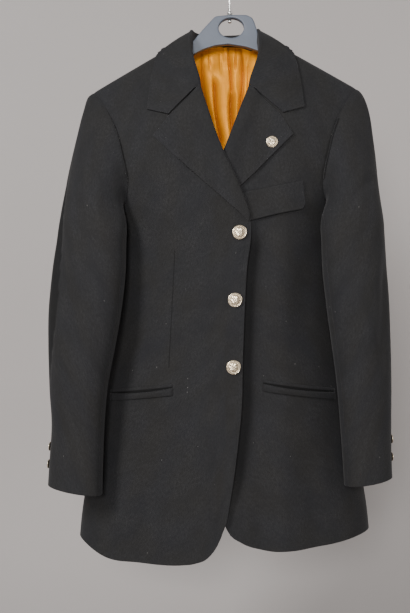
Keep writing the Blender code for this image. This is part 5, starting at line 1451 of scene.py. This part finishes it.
def wool_inputs(tree, settings):
    """Near-black fine wool: a mix of dark and grey fibres, a fine twill, a short nap that
    catches grazing light, a stitched line inside finished edges, and a few pale specks. Where a
    piece marks painted shade, and along the dart's seam, the colour is painted darker as shade."""
    place = cloth_place(tree)
    dark = tuple(settings.wool_colour)
    fibres = fractal(tree, place, 900.0, 4.0, 0.7)
    patches = fractal(tree, place, 26.0, 3.0, 0.6)
    mottle = fractal(tree, cloth_place(tree, (1.0, 0.6, 1.0)), 330.0, 3.0, 0.65)
    amount = product(
        tree,
        mapped(tree, fibres, 0.38, 0.72, 0.1, 1.0),
        mapped(tree, patches, 0.3, 0.7, 0.3, 1.0),
        mapped(tree, mottle, 0.34, 0.66, 0.25, 1.7),
    )
    colour = blended(tree, amount, dark, toned(dark, (2.1, 2.1, 2.1), 0.004))
    tint = fractal(tree, cloth_place(tree, (1.0, 0.7, 1.0), 3.0), 17.0, 2.0, 0.5)
    cool, warm = toned(dark, (0.95, 1.1, 1.6)), toned(dark, (1.4, 1.25, 0.9))
    colour = blended(tree, mapped(tree, tint, 0.46, 0.68, 0.0, 0.2), colour, cool)
    colour = blended(tree, mapped(tree, tint, 0.5, 0.32, 0.0, 0.22), colour, warm)
    edge = marked(tree, "edge")
    border = mapped(tree, edge, 0.0002, 0.003, 0.05, 0.0)
    colour = blended(tree, border, colour, toned(dark, (3.2, 3.2, 3.2), 0.012))
    inputs = {"Vector": cloth_place(tree, (1.0, 0.55, 1.0), 0.5), "Scale": 64.0}
    fluff = add_node(tree, "ShaderNodeTexVoronoi", inputs)
    picked = maths(tree, "FRACT", product(tree, fluff.outputs["Color"], 7.0))
    speck = product(
        tree,
        mapped(tree, fluff.outputs["Distance"], 0.016, 0.04, 0.6, 0.0),
        mapped(tree, picked, 0.35, 0.36, 0.0, 1.0),
        mapped(tree, fractal(tree, place, 1600.0, 2.0), 0.42, 0.52, 0.0, 1.0),
    )
    colour = blended(tree, speck, colour, (0.34, 0.33, 0.31))
    # Painted shade: darker where a piece marks painted shade, and along the dart's seam line for the shade
    # in its groove
    beside_seam = maths(tree, "ABSOLUTE", maths(tree, "SUBTRACT", marked(tree, "seam"), 1.0))
    seam_line = mapped(tree, beside_seam, 0.0003, 0.0012, 1.0, 0.0)
    shade = maths(tree, "MAXIMUM", marked(tree, "shade"), product(tree, seam_line, 0.6))
    colour = blended(tree, shade, colour, toned(dark, (0.22, 0.22, 0.22)))
    twill = waves(
        tree,
        cloth_place(tree, (1.0, 0.62, 1.0)),
        170.0,
        "DIAGONAL",
        {"Distortion": 0.6, "Detail": 1.0, "Detail Scale": 2.0},
    )
    away = maths(tree, "ABSOLUTE", maths(tree, "SUBTRACT", edge, settings.stitch_inset))
    groove = mapped(tree, away, 0.0, 0.0011, 1.0, 0.0)
    dashes = mapped(tree, waves(tree, place, 62.0, "DIAGONAL"), 0.25, 0.55, 0.45, 1.0)
    stitches = maths(tree, "ADD", product(tree, groove, dashes), seam_line)
    height = maths(tree, "MULTIPLY_ADD", fibres, 0.9, product(tree, twill, 0.5))
    normal = bumped(tree, height, 0.42, 0.00035)
    normal = bumped(tree, patches, 0.5, 0.0016, normal)
    return {
        "Base Color": colour,
        "Normal": bumped(tree, stitches, 0.42, 0.0008, normal, True),
        "Roughness": mapped(tree, fibres, 0.3, 0.7, 0.97, 0.8),
        "Specular IOR Level": 0.22,
        "Sheen Weight": settings.wool_sheen,
        "Sheen Roughness": 0.42,
        "Sheen Tint": (0.86, 0.85, 0.88, 1.0),
    }


def satin_inputs(tree, settings):
    """Golden satin: a fine weave with its gloss drawn out across the threads, paler where it
    is worn smooth, and with painted shade in the folds."""
    place = cloth_place(tree)
    full = tuple(settings.lining_colour)
    deep = toned(full, (0.8, 0.66, 0.5))
    slubs = fractal(tree, cloth_place(tree, (1.0, 0.05, 1.0)), 700.0, 3.0, 0.6)
    patches = fractal(tree, place, 34.0, 3.0, 0.6)
    colour = blended(tree, mapped(tree, patches, 0.3, 0.72, 0.0, 0.55), full, deep)
    colour = blended(tree, mapped(tree, slubs, 0.35, 0.75, 0.0, 0.22), colour, deep)
    # Painted shade in the creases, darkest where they sink deepest
    crease = mapped(tree, marked(tree, "crease"), 0.25, 1.0, 0.0, 0.85)
    colour = blended(tree, crease, colour, (0.3, 0.075, 0.008))
    weave = waves(tree, place, 420.0, "Y", {"Distortion": 0.8, "Detail": 1.0})
    height = maths(tree, "MULTIPLY_ADD", slubs, 0.6, product(tree, weave, 0.4))
    return {
        "Base Color": colour,
        "Normal": bumped(tree, patches, 0.45, 0.0011, bumped(tree, height, 0.22, 0.0002)),
        "Roughness": mapped(tree, slubs, 0.3, 0.7, 0.42, 0.54),
        "Metallic": 0.18,
        "Specular IOR Level": 0.15,
        "Anisotropic": 0.3,
        "Sheen Weight": 0.05,
        "Sheen Roughness": 0.35,
        "Sheen Tint": (1.0, 0.8, 0.5, 1.0),
    }


def metal_inputs(tree, settings):
    """Pale pressed metal: bright where the relief is rubbed, dark in its hollows, with fine
    scratches and a slightly uneven tarnish."""
    place = solid_place(tree)
    bright = tuple(settings.metal_colour)
    tarnish = fractal(tree, place, 700.0, 4.0, 0.65)
    raised = maths(tree, "ADD", marked(tree, "relief"), 0.42)
    shown = maths(tree, "MULTIPLY_ADD", tarnish, -0.5, raised)
    rubbed = mapped(tree, shown, 0.1, 0.75, 0.0, 1.0)
    height = maths(tree, "MULTIPLY_ADD", tarnish, 0.5, fractal(tree, place, 3800.0, 2.0, 0.6))
    return {
        "Base Color": blended(tree, rubbed, toned(bright, (0.22, 0.19, 0.15)), bright),
        "Normal": bumped(tree, height, 0.16, 0.0001),
        "Roughness": mapped(tree, shown, 0.1, 0.8, 0.52, 0.27),
        "Metallic": 1.0,
    }


def plastic_inputs(tree, settings):
    """Moulded blue-grey plastic with a faint cloudiness, a fine moulded grain and scuffs."""
    place = solid_place(tree)
    base = tuple(settings.plastic_colour)
    cloud = mapped(tree, fractal(tree, place, 38.0, 4.0, 0.6), 0.3, 0.72, 0.0, 1.0)
    scuff = fractal(tree, place, 420.0, 5.0, 0.7)
    colour = blended(tree, cloud, base, toned(base, (0.86, 0.86, 0.86)))
    scuffed = mapped(tree, scuff, 0.64, 0.74, 0.0, 0.25)
    return {
        "Base Color": blended(tree, scuffed, colour, toned(base, (1.5, 1.5, 1.5))),
        "Normal": bumped(tree, fractal(tree, place, 1900.0, 2.0, 0.6), 0.12, 0.0002),
        "Roughness": mapped(tree, scuff, 0.3, 0.75, 0.36, 0.55),
    }


def steel_inputs(tree, settings):
    """Bright plated steel wire, drawn lengthwise, a little duller in places."""
    place = solid_place(tree)
    dull = fractal(tree, place, 260.0, 4.0, 0.65)
    share = mapped(tree, dull, 0.35, 0.7, 0.0, 1.0)
    stretched = add_node(tree, "ShaderNodeMapping", {"Vector": place, "Scale": (9.0, 9.0, 1.0)})
    drawn = fractal(tree, stretched.outputs["Vector"], 420.0)
    return {
        "Base Color": blended(tree, share, (0.66, 0.66, 0.65), (0.44, 0.44, 0.43)),
        "Normal": bumped(tree, drawn, 0.1, 0.0001),
        "Roughness": mapped(tree, dull, 0.3, 0.7, 0.2, 0.38),
        "Metallic": 1.0,
    }


def paint_inputs(tree, settings):
    """Plain pale wall paint with a hardly visible roller texture."""
    place = solid_place(tree)
    base = tuple(settings.backdrop_colour)
    cloud = mapped(tree, fractal(tree, place, 2.6, 3.0, 0.5), 0.3, 0.7, 0.0, 1.0)
    return {
        "Base Color": blended(tree, cloud, base, toned(base, (0.97, 0.97, 0.97))),
        "Normal": bumped(tree, fractal(tree, place, 240.0), 0.05, 0.0005),
        "Roughness": 0.9,
        "Specular IOR Level": 0.2,
    }


# Each slot's material and the function that works out its inputs
FINISHES = {
    "dark_wool": ("wool_cloth", wool_inputs),
    "gold_satin": ("satin_lining", satin_inputs),
    "pale_metal": ("button_metal", metal_inputs),
    "blue_grey_plastic": ("hanger_plastic", plastic_inputs),
    "steel_wire": ("hook_steel", steel_inputs),
    "backdrop": ("backdrop_paint", paint_inputs),
}


def finish_of(slot, settings):
    """A slot's material, made the first time that it is asked for."""
    name, make_inputs = FINISHES[slot]
    return bpy.data.materials.get(name) or new_material(name, make_inputs, settings)


# Stage

CAMERA_PLACE, CAMERA_LENS = (-0.0323, -1.48, -0.5577), 53.44

# Name, place, target, size, power in watts or the setting that holds it, and colour
LIGHTS = (
    ("key", (-1.55, -1.85, 0.6), (0.0, 0.0, -0.5), (0.6, 0.8), "key_power", (1.0, 0.985, 0.97)),
    ("front", (-0.25, -2.6, -0.25), (0.0, 0.0, -0.45), (0.5, 0.5), "front_power", (1.0, 0.985, 0.97)),
    ("fill", (1.7, -1.6, -0.1), (0.0, 0.0, -0.5), (1.2, 1.6), "fill_power", (1.0, 0.95, 0.9)),
    ("backdrop", (1.35, -0.45, 0.1), (0.45, 0.3, -0.5), (0.5, 0.8), 5.0, (1.0, 0.94, 0.89)),
)


def make_backdrop(paint):
    """A pale floor that curves up into a wall: a profile of two straight lines joined by a
    quarter circle, carried along x."""
    floor_z, wall_y, bend = -1.3, 0.75, 0.45
    turns = np.linspace(0, math.pi / 2, 24)
    curve = np.column_stack([wall_y - bend + bend * np.sin(turns), floor_z + bend - bend * np.cos(turns)])
    profile = np.concatenate([[(-3.4, floor_z)], curve, [(wall_y, 2.2)]])
    x = np.linspace(-3.2, 3.2, 9)
    points = np.stack(np.broadcast_arrays(x[:, None], profile[None, :, 0], profile[None, :, 1]), axis=-1)
    quads = grid_quads(len(x), len(profile))
    mesh = bpy.data.meshes.new("backdrop")
    mesh.from_pydata(points.reshape(-1, 3).tolist(), [], quads[:, ::-1].tolist())
    mesh.polygons.foreach_set("use_smooth", np.ones(len(quads), dtype=bool))
    mesh.materials.append(paint)
    backdrop = bpy.data.objects.new("backdrop", mesh)
    bpy.context.scene.collection.objects.link(backdrop)
    return backdrop


def add_light(name, place, target, size, power, colour):
    """A soft square light that looks at a point."""
    light = bpy.data.lights.new(name, "AREA")
    light.shape = "RECTANGLE"
    light.size, light.size_y = size
    light.energy = power
    light.color = colour
    lamp = bpy.data.objects.new(name, light)
    lamp.location = place
    bpy.context.scene.collection.objects.link(lamp)
    away = np.array(place) - np.array(target)
    level = math.hypot(away[0], away[1])
    lamp.rotation_euler = (math.atan2(level, away[2]), 0.0, math.atan2(away[0], -away[1]))


# Settings

class JacketSettings(bpy.types.PropertyGroup):
    """Sizes and colours of the jacket and its hanger."""

    wall: bpy.props.FloatProperty(
        name="Cloth Thickness",
        description="Thickness of the wool with its lining",
        default=0.0018, min=0.0008, max=0.002, unit="LENGTH",
    )
    stitch_inset: bpy.props.FloatProperty(
        name="Stitch Distance",
        description="How far the stitched line lies inside the lapels', collar's and flap's edges",
        default=0.0075, min=0.001, max=0.015, unit="LENGTH",
    )
    lapel_roll: bpy.props.FloatProperty(
        name="Lapel Roll",
        description="How far the lapel stands off the front beside its fold",
        default=0.0036, min=0.0, max=0.006, unit="LENGTH",
    )
    flap_lift: bpy.props.FloatProperty(
        name="Flap Lift",
        description="How far the lower edge of the breast flap stands off the front",
        default=0.0022, min=0.0, max=0.005, unit="LENGTH",
    )
    lining_fullness: bpy.props.FloatProperty(
        name="Lining Fullness",
        description="How far the back lining stands out from the backs between its creases",
        default=0.01, min=0.002, max=0.014, unit="LENGTH",
    )
    wool_colour: bpy.props.FloatVectorProperty(
        name="Wool Colour",
        description="Darker of the two fibre colours of the wool",
        default=(0.0105, 0.0104, 0.0109), min=0.0, max=1.0, subtype="COLOR",
    )
    wool_sheen: bpy.props.FloatProperty(
        name="Wool Nap",
        description="How strongly the nap catches grazing light",
        default=0.055, min=0.0, max=1.0, subtype="FACTOR",
    )
    lining_colour: bpy.props.FloatVectorProperty(
        name="Lining Colour",
        description="Colour of the satin lining",
        default=(1.0, 0.41, 0.012), min=0.0, max=1.0, subtype="COLOR",
    )
    metal_colour: bpy.props.FloatVectorProperty(
        name="Button Metal",
        description="Colour of the buttons where they are rubbed bright",
        default=(0.66, 0.56, 0.42), min=0.0, max=1.0, subtype="COLOR",
    )
    plastic_colour: bpy.props.FloatVectorProperty(
        name="Hanger Colour",
        description="Colour of the hanger's plastic",
        default=(0.098, 0.114, 0.146), min=0.0, max=1.0, subtype="COLOR",
    )


class StageSettings(bpy.types.PropertyGroup):
    """The backdrop's colour and the strength of the lights."""

    backdrop_colour: bpy.props.FloatVectorProperty(
        name="Backdrop Colour",
        description="Colour of the floor and wall",
        default=(0.42, 0.395, 0.385), min=0.0, max=1.0, subtype="COLOR",
    )
    key_power: bpy.props.FloatProperty(
        name="Key Light",
        description="Power of the large light from the upper left",
        default=56.0, min=0.0, max=500.0, unit="POWER",
    )
    front_power: bpy.props.FloatProperty(
        name="Front Light",
        description="Power of the light above the camera",
        default=58.0, min=0.0, max=500.0, unit="POWER",
    )
    fill_power: bpy.props.FloatProperty(
        name="Fill Light",
        description="Power of the weak light from the right",
        default=6.0, min=0.0, max=500.0, unit="POWER",
    )
    room_light: bpy.props.FloatProperty(
        name="Room Light",
        description="Strength of the even light from all round",
        default=0.25, min=0.0, max=5.0,
    )


# The solids that a piece stands for, where they aren't its own name without the last word
STANDS_FOR = {
    "collar_cloth": ("collar", "collar_stand"),
    "hanger_plate_plastic": ("hanger",),
    "hanger_arm_right_plastic": ("hanger",),
    "hanger_arm_left_plastic": ("hanger",),
    "hook_steel": ("hook",),
    "hook_collar_steel": ("hook",),
    "hook_head_steel": ("hook",),
}


def settle(pieces):
    """Fastens pieces to the hanging body, and finds and hides the solids that they stand for."""
    if not pieces:
        raise RuntimeError("nothing was made")
    for piece in pieces:
        nodes = STANDS_FOR.get(piece.name, (piece.name.rsplit("_", 1)[0],))
        missing = [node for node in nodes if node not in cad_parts]
        if missing:
            raise RuntimeError(f"{piece.name} stands for unknown solids: {missing}")
        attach(piece, "root")
        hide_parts(*nodes)


def dress(context, make, slot, *more):
    """Makes pieces in a slot's finish and settles them."""
    settle(make(finish_of(slot, context.scene.jacket), *more))
    return {"FINISHED"}


# Operators

class JACKET_OT_body(bpy.types.Operator):
    """Makes the two fronts and the two backs"""

    bl_idname = "jacket.body"
    bl_label = "Fronts And Backs"

    def execute(self, context):
        return dress(context, make_body, "dark_wool", context.scene.jacket)


class JACKET_OT_sleeves(bpy.types.Operator):
    """Makes both sleeves, each of a top and an under piece"""

    bl_idname = "jacket.sleeves"
    bl_label = "Sleeves"

    def execute(self, context):
        return dress(context, make_sleeves, "dark_wool", context.scene.jacket)


class JACKET_OT_lapels(bpy.types.Operator):
    """Makes the two lapels, folded back on the fronts"""

    bl_idname = "jacket.lapels"
    bl_label = "Lapels"

    def execute(self, context):
        return dress(context, make_lapels, "dark_wool", context.scene.jacket)


class JACKET_OT_collar(bpy.types.Operator):
    """Makes the collar with its stand"""

    bl_idname = "jacket.collar"
    bl_label = "Collar"

    def execute(self, context):
        return dress(context, make_collar, "dark_wool", context.scene.jacket)


class JACKET_OT_pockets(bpy.types.Operator):
    """Makes the breast flap and the edges of the hip pockets"""

    bl_idname = "jacket.pockets"
    bl_label = "Pockets"

    def execute(self, context):
        return dress(context, make_pockets, "dark_wool", context.scene.jacket)


class JACKET_OT_front_buttons(bpy.types.Operator):
    """Makes the three front buttons and the lapel stud"""

    bl_idname = "jacket.front_buttons"
    bl_label = "Front Buttons And Stud"

    def execute(self, context):
        return dress(context, make_front_buttons, "pale_metal")


class JACKET_OT_cuff_buttons(bpy.types.Operator):
    """Makes the two buttons on each cuff"""

    bl_idname = "jacket.cuff_buttons"
    bl_label = "Cuff Buttons"

    def execute(self, context):
        return dress(context, make_cuff_buttons, "pale_metal")


class JACKET_OT_lining(bpy.types.Operator):
    """Makes the creased back lining"""

    bl_idname = "jacket.lining"
    bl_label = "Back Lining"

    def execute(self, context):
        return dress(context, make_lining, "gold_satin", context.scene.jacket)


class JACKET_OT_hanger(bpy.types.Operator):
    """Makes the hanger's plate and arms"""

    bl_idname = "jacket.hanger"
    bl_label = "Hanger"

    def execute(self, context):
        return dress(context, make_hanger, "blue_grey_plastic")


class JACKET_OT_hook(bpy.types.Operator):
    """Makes the wire hook, its turned collar and its head"""

    bl_idname = "jacket.hook"
    bl_label = "Hook"

    def execute(self, context):
        return dress(context, make_hook, "steel_wire")


class JACKET_OT_stage(bpy.types.Operator):
    """Makes the backdrop, the lights and the camera"""

    bl_idname = "jacket.stage"
    bl_label = "Stage"

    def execute(self, context):
        settings = context.scene.jacket_stage
        make_backdrop(finish_of("backdrop", settings))
        for name, place, target, size, power, colour in LIGHTS:
            strength = getattr(settings, power) if isinstance(power, str) else power
            add_light(name, place, target, size, strength, colour)
        world = bpy.data.worlds.new("room")
        world.use_nodes = True
        background = world.node_tree.nodes["Background"]
        background.inputs["Color"].default_value = (0.95, 0.97, 1.0, 1.0)
        background.inputs["Strength"].default_value = settings.room_light
        context.scene.world = world
        camera = bpy.data.cameras.new("photo_view")
        camera.lens = CAMERA_LENS
        camera.sensor_width = 36.0
        camera.clip_start = 0.01
        viewer = bpy.data.objects.new("photo_view", camera)
        viewer.location = CAMERA_PLACE
        viewer.rotation_euler = (math.pi / 2, 0.0, 0.0)
        context.scene.collection.objects.link(viewer)
        context.scene.camera = viewer
        return {"FINISHED"}


PIECE_OPERATORS = (
    JACKET_OT_body,
    JACKET_OT_sleeves,
    JACKET_OT_lapels,
    JACKET_OT_collar,
    JACKET_OT_pockets,
    JACKET_OT_front_buttons,
    JACKET_OT_cuff_buttons,
    JACKET_OT_lining,
    JACKET_OT_hanger,
    JACKET_OT_hook,
    JACKET_OT_stage,
)


class JACKET_PT_panel(bpy.types.Panel):
    """Lists the jacket's settings and the pieces that can be made"""

    bl_idname = "JACKET_PT_panel"
    bl_label = "Jacket"
    bl_space_type = "VIEW_3D"
    bl_region_type = "UI"
    bl_category = "Jacket"

    def draw(self, context):
        for settings in (context.scene.jacket, context.scene.jacket_stage):
            for name in settings.bl_rna.properties.keys():
                if name not in ("rna_type", "name"):
                    self.layout.prop(settings, name)
        for operator in PIECE_OPERATORS:
            self.layout.operator(operator.bl_idname)


CLASSES = (JacketSettings, StageSettings, *PIECE_OPERATORS, JACKET_PT_panel)


def register():
    """Registers every class and hangs the settings on the scene."""
    for each in CLASSES:
        bpy.utils.register_class(each)
    bpy.types.Scene.jacket = bpy.props.PointerProperty(type=JacketSettings)
    bpy.types.Scene.jacket_stage = bpy.props.PointerProperty(type=StageSettings)


def unregister():
    """Takes the settings off the scene again and unregisters every class."""
    del bpy.types.Scene.jacket_stage
    del bpy.types.Scene.jacket
    for each in reversed(CLASSES):
        bpy.utils.unregister_class(each)


def main():
    """Registers the add-on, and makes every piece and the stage."""
    register()
    bpy.ops.jacket.body()
    bpy.ops.jacket.sleeves()
    bpy.ops.jacket.lapels()
    bpy.ops.jacket.collar()
    bpy.ops.jacket.pockets()
    bpy.ops.jacket.front_buttons()
    bpy.ops.jacket.cuff_buttons()
    bpy.ops.jacket.lining()
    bpy.ops.jacket.hanger()
    bpy.ops.jacket.hook()
    bpy.ops.jacket.stage()


if __name__ == "__main__":
    main()
